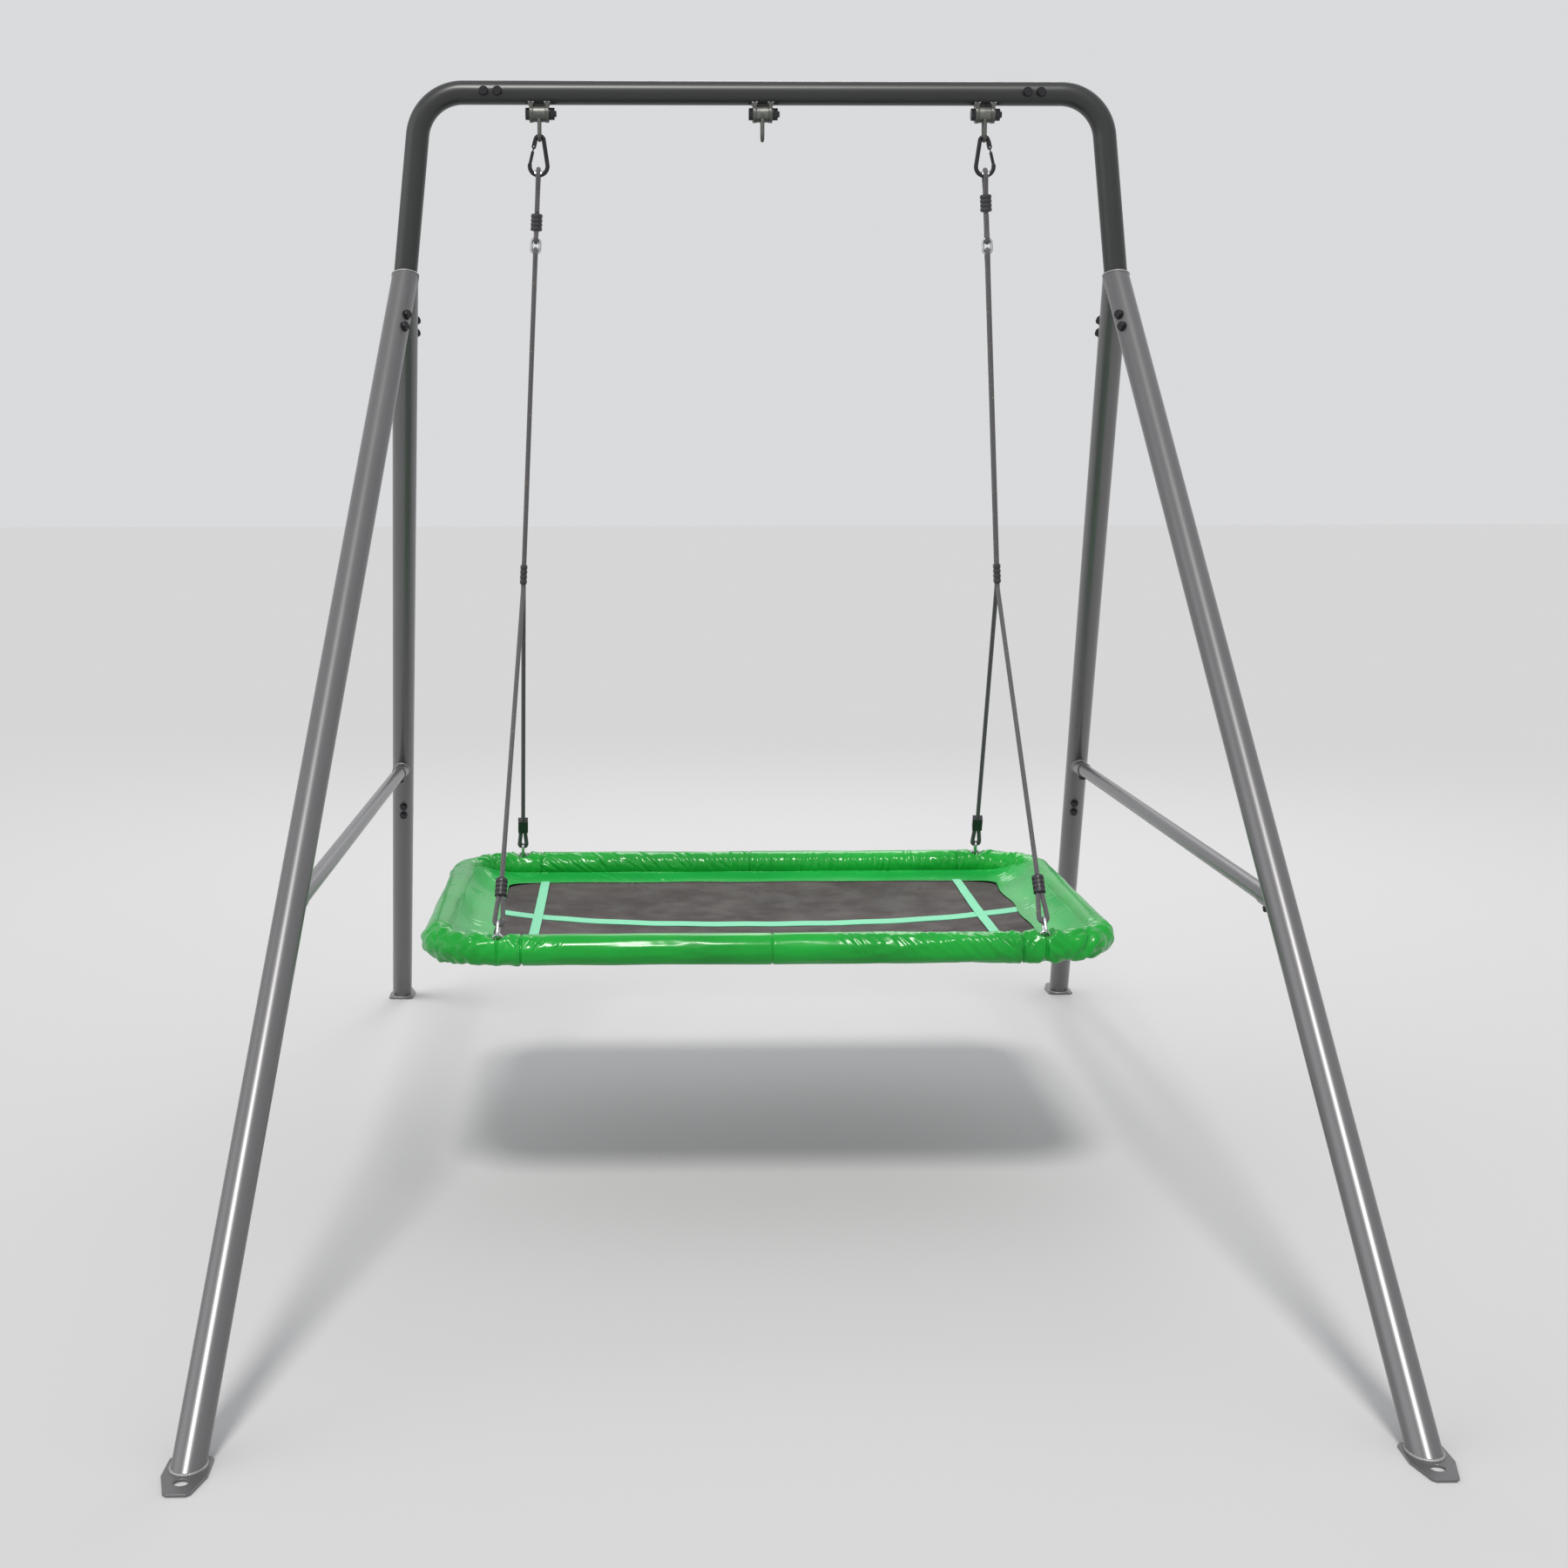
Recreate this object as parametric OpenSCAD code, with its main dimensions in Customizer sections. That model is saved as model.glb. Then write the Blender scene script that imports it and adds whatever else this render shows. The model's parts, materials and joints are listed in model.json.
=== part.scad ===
// Platform swing on a tubular A-frame stand.
// X runs along the top beam, -Y is the front, +Z is up, and the origin is on the ground
// below the middle of the beam. Sizes are in millimetres and angles in degrees.

/* [Stand] */
// Height of the top beam's axis above the ground
beam_z = 1800; // [1790:1:1810]
// Outer diameter of the top beam and the corner tubes
beam_d = 38; // [36:0.5:40]
// Outer diameter of the legs and their sockets
leg_d = 42.4; // [41:0.2:44]
// Wall thickness of every stand tube
tube_wall = 1.8; // [1.5:0.1:2]
// Distance from the middle of the stand to a leg's lower end, along the beam
foot_x = 754; // [740:2:770]
// Distance from the beam's line to a leg's lower end, front to back
foot_y = 1181; // [1160:2:1200]
// Height where a corner tube meets its two leg sockets
junction_z = 1510; // [1500:2:1520]
// Outer diameter of the side braces
brace_d = 25; // [22:0.5:26]

/* [Hangers] */
// Distance from the middle of the beam to each swing hanger
hanger_x = 364; // [355:1:375]
// Drop from the beam's axis to the hanger bolts
hanger_drop = 33; // [33:0.5:35]
// Diameter of the hanger bolts
pivot_d = 10; // [8:0.5:10]
// Radial running clearance of a bush on its bolt
pivot_play = 0.05; // [0.02:0.01:0.1]

/* [Ropes] */
// Rope diameter
rope_d = 8; // [7:0.5:8]
// Height at which the two strands of a side part to the front and the back
bridle_z = 1003; // [995:1:1010]
// Sideways position of the parting strands
bridle_x = 400; // [398:1:402]

/* [Seat] */
// Height of the seat frame's tube axis
seat_z = 455; // [445:1:465]
// Half of the seat frame's length, to the tube's axis
seat_a = 528; // [520:1:535]
// Half of the seat frame's width, to the tube's axis
seat_b = 360; // [350:1:370]
// Bend radius of the seat frame's corners
seat_r = 95; // [85:1:100]
// Outer diameter of the padded and covered seat rim
rim_d = 53; // [51:0.5:56]
// Sideways position of the seat's four hanging eyes
eye_x = 427; // [420:1:430]

/* [Hidden] */
$fn = 48;
big = 400;

// Stand: the corner tube leaves the beam, bends down and splays out to the junction.
splice_x = 419;
bend_x = 488;
bend_r = 75;
splay = 6.3;
bend_end = [bend_x + bend_r * cos(splay), 0, beam_z - bend_r + bend_r * sin(splay)];
junction = [bend_end.x + (bend_end.z - junction_z) * tan(splay), 0, junction_z];
foot_t = 4;
leg_foot = [foot_x, -foot_y, 0];
leg_dir = (leg_foot - junction) / norm(leg_foot - junction);
leg_len = norm(leg_foot - junction);
socket_len = 135;
leg_split = 1077;
top_spigot = 90;
low_spigot = 235;
spigot_gap = 0.1;
beam_r = beam_d / 2;
leg_r = leg_d / 2;
spigot_r = leg_r - tube_wall - spigot_gap;
beam_bolt_x = [431, 453];
socket_bolt_s = [97, 122];
splice_bolt_s = [1262, 1288];
socket_bolt_turn = 235;
brace_s = 1170;
brace_at = junction + brace_s * leg_dir;
brace_r = brace_d / 2;
stub_r = brace_r + tube_wall;
stub_len = 80;
brace_bolt_y = 62;
brace_end = 35;

// Frame bolts: hexagon head, washer and a threaded insert behind the inner wall.
bolt_r = 4;
hole_play = 0.25;
head_af = 13;
head_h = 5.3;
washer_r = 8;
washer_t = 1.6;
bolt_reach = 12;
insert_r = 5.5;
insert_depth = 5.4;
insert_len = 7;

// Foot plate: a tapered plate whose nose carries the anchor hole.
anchor_ahead = 40;
anchor_r = 9;
foot_outline = [[-27, 24], [-22, 30], [22, 30], [27, 24], [28, -22], [17, -66], [12, -71],
                [-12, -71], [-17, -66], [-28, -22]];

// Hangers
pivot_z = beam_z - hanger_drop;
ear_gap = 20;
ear_t = 6;
ear_r = 14;
ear_top_w = 24;
barrel_r = 13.25;
barrel_len = 19.4;
bush_r = 8;
pivot_head_af = 17;
pivot_head_h = 6.4;
eye_wire = 3;
eye_half = 9;
eye_drop = 41.6;

// Chain of parts below each hanger, measured down from the eye's lowest wire centre.
wire = 3.5;
hook_top_r = 6.7;
hook_low_r = 14.5;
hook_span = 41;
hook_tilt = asin((hook_low_r - hook_top_r) / hook_span);
gate_len = 28;
gate_r = 2.6;
gate_pin_r = 1.2;
knuckle_t = 2.8;
knuckle_r = 3.2;
cheek_t = 1.8;
cheek_gap = 0.2;
hook_low = -hook_span - hook_low_r;
thimble_in = 5;
thimble_t = 1.2;
thimble_half = 5.5;
thimble_rise = hook_low_r - sqrt(hook_low_r * hook_low_r - thimble_half * thimble_half);
thimble_z = hook_low + wire + thimble_rise + 0.1 - thimble_in;
rope_r = rope_d / 2;
strand = rope_r + 0.1;
link_wire = 2.5;
rope_bend = rope_r + link_wire + 0.2;
thimble_bend = thimble_in + thimble_t + rope_r + 0.1;
strand_top_z = -84;
strand_low_z = -146;
mid_link_z = -156;
link_r = 7;
link_span = 10;
main_top_z = mid_link_z - link_r * 2 - link_span;
main_join_z = main_top_z - 26;
eye_low = [hanger_x, 0, pivot_z - eye_drop];
bridle = [bridle_x, 0, bridle_z];
chain_tilt = atan((bridle.x - eye_low.x) / (eye_low.z - bridle.z));
chain_len = norm(bridle - eye_low);
sleeve_r = 9.5;
sleeve_h = 27;
adjuster_z = [-131, -99.5];
bridle_sleeve_h = 32;

// Lower ropes, measured along each rope from its hanging eye up to the bridle.
rim_r = rim_d / 2;
frame_r = 12.7;
frame_wall = 1.6;
foam_gap = 0.1;
cover_t = 1;
seat_eye_r = 8;
seat_eye_wire = 2.5;
seat_eye = [eye_x, -seat_b, seat_z + frame_r + 3.3 + seat_eye_r];
strand_drop = 7.5;
strand_top = [bridle_x, -(rope_r + 0.6), bridle_z - strand_drop];
low_dir = strand_top - seat_eye;
low_len = norm(low_dir);
link_hang = link_wire + seat_eye_wire + 0.1;
seat_link_span = 14;
loop_s = link_r * 2 - link_hang + seat_link_span;
loop_len = 42;
front_sleeve_s = loop_s + loop_len;
front_sleeve_h = 30;
block_s = 62;
block_size = [18, 13, 28];

// Seat panel
mat_drop = 21;
mat_t = 1.5;
mat_a = 445;
mat_b = 285;
mat_r = 60;
strap_t = 1.2;
strap_x = 382;
cross_w = 16;
long_w = 36;
slot = [26, 28];

// ---- Helpers ----------------------------------------------------------------

// Places children in one quadrant: they are drawn for the right side at the front.
module quarter(left, back) {
    mirror([left ? 1 : 0, 0, 0]) mirror([0, back ? 1 : 0, 0]) children();
}

// Stands children on point p, with their Z axis along direction v.
module along(p, v) {
    translate(p) rotate([0, acos(v.z / norm(v)), atan2(v.y, v.x)]) children();
}

// A round rod from p to q.
module rod(p, q, r) {
    along(p, q - p) cylinder(r = r, h = norm(q - p));
}

// A rod that runs on by over at both ends, so that it joins its neighbours at a slight angle.
module joined_rod(p, q, r, over = 1) {
    u = (q - p) / norm(q - p);
    rod(p - over * u, q + over * u, r);
}

// A round bar bent in the XZ plane, from angle a0 to a1 about the origin.
module bent_bar(bend, r, a0, a1) {
    rotate([90, 0, 0]) rotate([0, 0, a0])
        rotate_extrude(angle = a1 - a0) translate([bend, 0]) circle(r);
}

// An oval link in the XZ plane; its top arc is centred on the origin.
module oval_link(bend, r, span) {
    bent_bar(bend, r, 0, 180);
    translate([0, 0, -span]) bent_bar(bend, r, 180, 360);
    for (x = [-bend, bend]) translate([x, 0, -span]) cylinder(r = r, h = span);
}

// The leg frame: origin at the junction, Z down the front right leg, X to the inside.
module leg_frame() {
    along(junction, leg_dir) children();
}

// Everything on the front side of the beam's plane and below the junction's mitre.
module socket_region() {
    mitre = (90 + asin(leg_dir.z)) / 2;
    intersection() {
        translate([0, -big, 0]) cube([2 * big, big, beam_z]);
        translate(junction) rotate([-mitre, 0, 0])
            translate([-big, -big, -2 * big]) cube([2 * big, 2 * big, 2 * big]);
    }
}

// Hexagon prism, across flats af.
module hexagon(af, h) {
    cylinder(r = af / 2 / cos(30), h = h, $fn = 6);
}

// One frame bolt along +Z: shank inwards from the surface, washer and head outwards.
module frame_bolt() {
    translate([0, 0, -bolt_reach]) cylinder(r = bolt_r, h = bolt_reach + washer_t);
    cylinder(r = washer_r, h = washer_t);
    translate([0, 0, washer_t]) intersection() {
        hexagon(head_af, head_h);
        translate([0, 0, -3]) cylinder(r1 = head_af, r2 = head_af * 0.48, h = head_h + 3);
    }
}

// Hole for a frame bolt, from the surface inwards.
module bolt_hole() {
    translate([0, 0, -leg_r + 4]) cylinder(r = bolt_r + hole_play, h = leg_r);
}

// Places of the frame bolts: on the beam's corner tube, the leg's socket and splice.
module at_beam_bolts() {
    for (x = beam_bolt_x) translate([x, -beam_r, beam_z]) rotate([90, 0, 0]) children();
}

module at_leg_bolts(places, turn) {
    for (s = places) leg_frame() translate([0, 0, s]) rotate([0, 0, turn])
        translate([leg_r, 0, 0]) rotate([0, 90, 0]) children();
}

module at_brace_bolts() {
    translate([brace_at.x, brace_at.y + brace_bolt_y, brace_at.z - stub_r])
        rotate([180, 0, 0]) children();
}

// Children at every frame bolt of the stand.
module at_frame_bolts() {
    for (left = [false, true]) {
        quarter(left, false) at_beam_bolts() children();
        for (back = [false, true]) quarter(left, back) {
            at_leg_bolts(socket_bolt_s, socket_bolt_turn) children();
            at_leg_bolts(splice_bolt_s, 0) children();
            at_brace_bolts() children();
        }
    }
}

// ---- Stand ------------------------------------------------------------------

module top_beam() {
    color("#55585a") difference() {
        rod([-splice_x, 0, beam_z], [splice_x, 0, beam_z], beam_r);
        rod([-splice_x - 1, 0, beam_z], [splice_x + 1, 0, beam_z], beam_r - tube_wall);
    }
}

// The two inner sleeves that join the beam to its corner tubes.
module beam_sleeves() {
    sleeve_out = beam_r - tube_wall - spigot_gap;
    color("#606468") for (left = [false, true]) quarter(left, false) difference() {
        rod([splice_x - 60, 0, beam_z], [splice_x + 60, 0, beam_z], sleeve_out);
        rod([splice_x - 61, 0, beam_z], [splice_x + 61, 0, beam_z], sleeve_out - tube_wall);
        at_beam_bolts() bolt_hole();
    }
}

// The bent corner tube with its two leg sockets welded on.
module corner() {
    difference() {
        union() {
            corner_tube(beam_r);
            for (back = [false, true]) quarter(false, back) intersection() {
                leg_frame() translate([0, 0, -40]) cylinder(r = leg_r, h = socket_len + 40);
                socket_region();
            }
        }
        corner_tube(beam_r - tube_wall, 1);
        for (back = [false, true]) quarter(false, back) {
            leg_frame() translate([0, 0, 32])
                cylinder(r = leg_r - tube_wall, h = socket_len);
            at_leg_bolts(socket_bolt_s, socket_bolt_turn) bolt_hole();
        }
        at_beam_bolts() bolt_hole();
    }
}

// Bar along the corner tube's axis, longer by extra at the beam's end.
module corner_tube(r, extra = 0) {
    rod([splice_x - extra, 0, beam_z], [bend_x, 0, beam_z], r);
    translate([bend_x, 0, beam_z - bend_r]) bent_bar(bend_r, r, splay, 90);
    rod(bend_end, junction, r);
}

module corner_left() { color("#515456") quarter(true, false) corner(); }
module corner_right() { color("#515456") corner(); }

// The upper leg tube with its reduced ends.
module upper_leg() {
    color("#7a7d80") difference() {
        union() {
            leg_frame() translate([0, 0, socket_len])
                cylinder(r = leg_r, h = leg_split - socket_len);
            leg_frame() translate([0, 0, socket_len - top_spigot])
                cylinder(r = spigot_r, h = leg_split + low_spigot - socket_len + top_spigot);
        }
        leg_frame() cylinder(r = spigot_r - tube_wall, h = leg_len);
        at_leg_bolts(socket_bolt_s, socket_bolt_turn) bolt_hole();
        at_leg_bolts(splice_bolt_s, 0) bolt_hole();
    }
}

// The lower leg tube with the brace stub welded on.
module lower_leg() {
    color("#86898c") difference() {
        union() {
            leg_frame() translate([0, 0, leg_split])
                cylinder(r = leg_r, h = leg_len + 2 * leg_r - leg_split);
            rod(brace_at, brace_at + [0, stub_len, 0], stub_r);
        }
        leg_frame() translate([0, 0, leg_split - 1])
            cylinder(r = leg_r - tube_wall, h = leg_len);
        rod(brace_at + [0, leg_r + 4, 0], brace_at + [0, stub_len + 1, 0],
            stub_r - tube_wall);
        at_leg_bolts(splice_bolt_s, 0) bolt_hole();
        at_brace_bolts() bolt_hole();
        translate([0, -foot_y - big, foot_t - 2 * big]) cube([2 * foot_x, 3 * big, 2 * big]);
    }
}

module foot_plate() {
    color("#83868a") translate([foot_x, -foot_y, 0]) difference() {
        linear_extrude(foot_t) polygon(foot_outline);
        translate([0, -anchor_ahead, -1]) cylinder(r = anchor_r, h = foot_t + 2);
    }
}

module brace() {
    y = brace_at.y + brace_end;
    color("#7d8083") difference() {
        rod([brace_at.x, y, brace_at.z], [brace_at.x, -y, brace_at.z], brace_r - spigot_gap);
        rod([brace_at.x, y - 1, brace_at.z], [brace_at.x, 1 - y, brace_at.z],
            brace_r - spigot_gap - tube_wall);
        for (back = [false, true]) quarter(false, back) at_brace_bolts() bolt_hole();
    }
}

module brace_left() { quarter(true, false) brace(); }
module brace_right() { brace(); }

module frame_bolts() { color("#1c1d1f") at_frame_bolts() frame_bolt(); }

// Threaded inserts, behind the inner tube's wall.
module frame_inserts() {
    color("#a9adb0") at_frame_bolts() difference() {
        translate([0, 0, -insert_depth - insert_len])
            cylinder(r = insert_r, h = insert_len);
        translate([0, 0, -bolt_reach - 8]) cylinder(r = bolt_r, h = bolt_reach + 8);
    }
}

// ---- Hangers ----------------------------------------------------------------

// Two ears and a web under the beam, saddle-cut to its round underside.
module clevis(x) {
    color("#4c4f50") translate([x, 0, pivot_z]) difference() {
        union() {
            for (side = [-1, 1]) translate([side * (ear_gap + ear_t) / 2, 0, 0])
                rotate([90, 0, 90]) translate([0, 0, -ear_t / 2]) linear_extrude(ear_t)
                    union() {
                        circle(ear_r);
                        translate([-ear_top_w / 2, 0])
                            square([ear_top_w, hanger_drop - beam_r * 0.6]);
                    }
            translate([-ear_gap / 2 - 1, -6, barrel_r + 0.25])
                cube([ear_gap + 2, 12, 4]);
        }
        translate([-big, 0, hanger_drop]) rotate([0, 90, 0])
            cylinder(r = beam_r, h = 2 * big);
        translate([-big, 0, 0]) rotate([0, 90, 0])
            cylinder(r = pivot_d / 2 + pivot_play, h = 2 * big);
    }
}

module clevis_left() { clevis(-hanger_x); }
module clevis_centre() { clevis(0); }
module clevis_right() { clevis(hanger_x); }

// Children at each of the three hanger bolts, with Z along the bolt.
module at_pivots(xs = [-hanger_x, 0, hanger_x]) {
    for (x = xs) translate([x, 0, pivot_z]) rotate([0, 90, 0]) children();
}

module pivot_bolts() {
    out = ear_gap / 2 + ear_t;
    color("#2b2c2e") at_pivots() {
        translate([0, 0, -out]) cylinder(r = pivot_d / 2, h = 2 * out + 12);
        translate([0, 0, -out - pivot_head_h]) hexagon(pivot_head_af, pivot_head_h);
    }
}

module pivot_nuts() {
    out = ear_gap / 2 + ear_t;
    color("#343638") at_pivots() translate([0, 0, out]) difference() {
        union() {
            cylinder(r = 10, h = 1.6);
            translate([0, 0, 1.6]) hexagon(pivot_head_af, 7.4);
        }
        translate([0, 0, -1]) cylinder(r = pivot_d / 2, h = 12);
    }
}

// The turning barrel with the wire eye welded below it.
module barrel(x) {
    bend_z = -eye_drop + eye_half;
    color("#6d7072") translate([x, 0, pivot_z]) difference() {
        union() {
            translate([-barrel_len / 2, 0, 0]) rotate([0, 90, 0])
                cylinder(r = barrel_r, h = barrel_len);
            for (y = [-eye_half, eye_half])
                rod([0, y, bend_z], [0, y, -barrel_r * 0.6], eye_wire);
            translate([0, 0, bend_z]) rotate([0, 0, 90])
                bent_bar(eye_half, eye_wire, 180, 360);
        }
        translate([-barrel_len, 0, 0]) rotate([0, 90, 0])
            cylinder(r = bush_r, h = 2 * barrel_len);
    }
}

module barrel_left() { barrel(-hanger_x); }
module barrel_right() { barrel(hanger_x); }
module spare_barrel() { barrel(0); }

// Plastic bushes between the barrels and their bolts.
module bush() {
    translate([0, 0, -barrel_len / 2]) difference() {
        cylinder(r = bush_r, h = barrel_len);
        translate([0, 0, -1]) cylinder(r = pivot_d / 2 + pivot_play, h = barrel_len + 2);
    }
}

module spare_bush() { color("#2f2f2f") at_pivots([0]) bush(); }
module swing_bushes() { color("#2f2f2f") at_pivots([-hanger_x, hanger_x]) bush(); }

// ---- Chain below each hanger ------------------------------------------------

// Places children in the chain's frame: origin at the eye's lowest wire, Z up the line.
module chain(left) {
    mirror([left ? 1 : 0, 0, 0]) translate(eye_low) rotate([0, -chain_tilt, 0]) children();
}

// Point at distance s up the hook's straight right side, from the lower bend.
function hook_side(s) = [hook_low_r * cos(hook_tilt) - s * sin(hook_tilt), 0,
                         -hook_span + hook_low_r * sin(hook_tilt) + s * cos(hook_tilt)];
hook_side_len = hook_span * cos(hook_tilt);
gate_hinge = hook_side(gate_len);

// Pear-shaped snap hook, open where its gate sits.
module hook() {
    difference() {
        union() {
            bent_bar(hook_top_r, wire, hook_tilt, 180 - hook_tilt);
            translate([0, 0, -hook_span])
                bent_bar(hook_low_r, wire, 180 - hook_tilt, 360 + hook_tilt);
            mirror([1, 0, 0]) rod(hook_side(0), hook_side(hook_side_len), wire);
            rod(hook_side(gate_len + 6), hook_side(hook_side_len), wire);
            for (y = [-1, 1]) translate([0, y * (knuckle_t + cheek_t + 2 * cheek_gap) / 2, 0])
                cheek();
        }
        translate(gate_hinge) rotate([90, 0, 0]) translate([0, 0, -10])
            cylinder(r = gate_pin_r, h = 20);
    }
}

// One flat cheek of the gate's fork, from the wire's end to the pin.
module cheek() {
    top = hook_side(gate_len + 9);
    translate([0, cheek_t / 2, 0]) rotate([90, 0, 0]) linear_extrude(cheek_t) union() {
        translate([gate_hinge.x, gate_hinge.z]) circle(wire);
        translate([top.x, top.z]) circle(wire);
        translate([gate_hinge.x, gate_hinge.z]) rotate(hook_tilt)
            translate([-wire, 0]) square([2 * wire, 9]);
    }
}

module hook_left() { color("#17181a") chain(true) hook(); }
module hook_right() { color("#17181a") chain(false) hook(); }

// The gate: a knuckle on the pin and a rod down to the hook's nose.
module gate() {
    nose_gap = 0.5;
    neck_r = 1.2;
    tip = hook_side(nose_gap);
    near = hook_side(gate_len - 2);
    difference() {
        union() {
            rod(hook_side(gate_len - 10), near, neck_r);
            rod(tip, hook_side(gate_len - 8), gate_r);
            translate(gate_hinge) rotate([90, 0, 0]) translate([0, 0, -knuckle_t / 2])
                cylinder(r = knuckle_r, h = knuckle_t);
        }
        translate(gate_hinge) rotate([90, 0, 0]) translate([0, 0, -10])
            cylinder(r = gate_pin_r + pivot_play, h = 20);
    }
}

module gate_left() { color("#232427") chain(true) gate(); }
module gate_right() { color("#232427") chain(false) gate(); }

module gate_pins() {
    reach = knuckle_t / 2 + cheek_gap + cheek_t;
    color("#8c9094") for (left = [false, true]) chain(left)
        translate(gate_hinge) rotate([90, 0, 0]) translate([0, 0, -reach])
            cylinder(r = gate_pin_r, h = 2 * reach);
}

// Channel-shaped rope thimbles that ride on the hooks' lower bend.
module thimbles() {
    lip = 3;
    color("#b4b8ba") for (left = [false, true]) chain(left)
        translate([0, 0, thimble_z]) rotate([0, 0, 90]) rotate([90, 0, 0])
            rotate([0, 0, 7]) rotate_extrude(angle = 166) translate([thimble_in, 0])
                difference() {
                    translate([0, -thimble_half]) square([thimble_t + lip, 2 * thimble_half]);
                    translate([thimble_t + rope_r + 0.1, 0]) circle(rope_r + 0.1);
                }
}

// The short doubled rope between a thimble and its middle link.
module adjuster_rope() {
    rotate([0, 0, 90]) {
        translate([0, 0, thimble_z]) bent_bar(thimble_bend, rope_r, 0, 180);
        translate([0, 0, mid_link_z]) bent_bar(rope_bend, rope_r, 180, 360);
        for (side = [-1, 1]) {
            top = [side * strand, 0, strand_top_z];
            low = [side * strand, 0, strand_low_z];
            joined_rod([side * thimble_bend, 0, thimble_z], top, rope_r);
            rod(top, low, rope_r);
            joined_rod(low, [side * rope_bend, 0, mid_link_z], rope_r);
        }
    }
}

module adjuster_rope_left() { color("#3a3b3d") chain(true) adjuster_rope(); }
module adjuster_rope_right() { color("#3a3b3d") chain(false) adjuster_rope(); }

// A ribbed round sleeve, centred on the origin.
module ribbed_sleeve(r, h) {
    ribs = 4;
    pitch = h / ribs;
    translate([0, 0, -h / 2]) {
        cylinder(r = r - 1.2, h = h);
        for (i = [0:ribs - 1]) translate([0, 0, (i + 0.15) * pitch])
            cylinder(r = r, h = pitch * 0.7);
    }
}

module adjuster_sleeves() {
    color("#1f2022") for (side = [0, 1]) chain(side == 0) difference() {
        translate([0, 0, adjuster_z[side]]) ribbed_sleeve(sleeve_r, sleeve_h);
        for (y = [-strand, strand])
            rod([0, y, strand_top_z + 1], [0, y, strand_low_z - 1], rope_r);
    }
}

module middle_links() {
    color("#aeb3b6") for (left = [false, true]) chain(left)
        translate([0, 0, mid_link_z - link_r]) oval_link(link_r, link_wire, link_span);
}

// The long doubled rope: one strand to the front of the seat and one to the back.
module main_rope() {
    rotate([0, 0, 90]) {
        translate([0, 0, main_top_z]) bent_bar(rope_bend, rope_r, 0, 180);
        for (side = [-1, 1]) {
            join = [side * strand, 0, main_join_z];
            joined_rod([side * rope_bend, 0, main_top_z], join, rope_r);
            rod(join, [side * strand, 0, 1 - chain_len], rope_r);
        }
    }
}

module main_rope_left() { color("#3a3b3d") chain(true) main_rope(); }
module main_rope_right() { color("#3a3b3d") chain(false) main_rope(); }

// Oval ribbed sleeves that hold the two strands together above the bridle.
module bridle_sleeves() {
    ribs = 4;
    pitch = bridle_sleeve_h / ribs;
    color("#1f2022") for (left = [false, true]) chain(left) translate([0, 0, -chain_len])
        difference() {
            union() {
                oval_bar(rope_r + 0.9, bridle_sleeve_h);
                for (i = [0:ribs - 1]) translate([0, 0, (i + 0.15) * pitch])
                    oval_bar(rope_r + 1.8, pitch * 0.7);
            }
            for (y = [-strand, strand]) translate([0, y, -1])
                cylinder(r = rope_r, h = bridle_sleeve_h + 2);
        }
}

// A bar with a stadium section round both strands.
module oval_bar(r, h) {
    for (y = [-strand, strand]) translate([0, y, 0]) cylinder(r = r, h = h);
    translate([-r, -strand, 0]) cube([2 * r, 2 * strand, h]);
}

// ---- Lower ropes ------------------------------------------------------------

// Places children at a hanging eye of the seat, with Z up the lower rope.
module lower_line(left, back) {
    quarter(left, back) along(seat_eye, low_dir) rotate([0, 0, line_turn]) children();
}
// Turn about the rope that brings the children's X axis level, pointing to the seat's end.
line_turn = -90;

// Closed eye of the rope round the seat link; its slightly squeezed strands run together.
module rope_eye(meet) {
    translate([0, 0, loop_s]) bent_bar(rope_bend, rope_r, 180, 360);
    for (side = [-1, 1])
        joined_rod([side * rope_bend, 0, loop_s], [side * strand * 0.6, 0, meet], rope_r - 0.2);
}

module lower_rope(meet) {
    rope_eye(meet);
    translate([0, 0, meet - 6]) cylinder(r = rope_r, h = low_len - meet + 6);
    translate([0, 0, low_len]) cylinder(r1 = rope_r, r2 = rope_r * 0.6, h = rope_r * 0.7);
}

module front_rope() { lower_rope(front_sleeve_s + 8); }
module back_rope() { lower_rope(block_s + 6); }

module lower_rope_front_left() { color("#4a4b4e") lower_line(true, false) front_rope(); }
module lower_rope_front_right() { color("#4a4b4e") lower_line(false, false) front_rope(); }
module lower_rope_back_left() { color("#4a4b4e") lower_line(true, true) back_rope(); }
module lower_rope_back_right() { color("#4a4b4e") lower_line(false, true) back_rope(); }

module front_sleeves() {
    color("#1f2022") for (left = [false, true]) lower_line(left, false) difference() {
        translate([0, 0, front_sleeve_s + front_sleeve_h / 2])
            ribbed_sleeve(sleeve_r, front_sleeve_h);
        front_rope();
    }
}

// Rectangular slide blocks on the back ropes.
module slide_blocks() {
    color("#1f2022") for (left = [false, true]) lower_line(left, true) difference() {
        translate([-block_size.x / 2, -block_size.y / 2, block_s - 4]) cube(block_size);
        for (z = [3, 15]) translate([-block_size.x, -block_size.y / 2 - 1, block_s + z])
            cube([2 * block_size.x, 2, 4]);
        back_rope();
    }
}

module seat_links() {
    color("#b4b8ba") for (left = [false, true]) for (back = [false, true])
        lower_line(left, back) rotate([0, 0, 90])
            translate([0, 0, loop_s - link_r]) oval_link(link_r, link_wire, seat_link_span);
}

// ---- Seat -------------------------------------------------------------------

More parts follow.
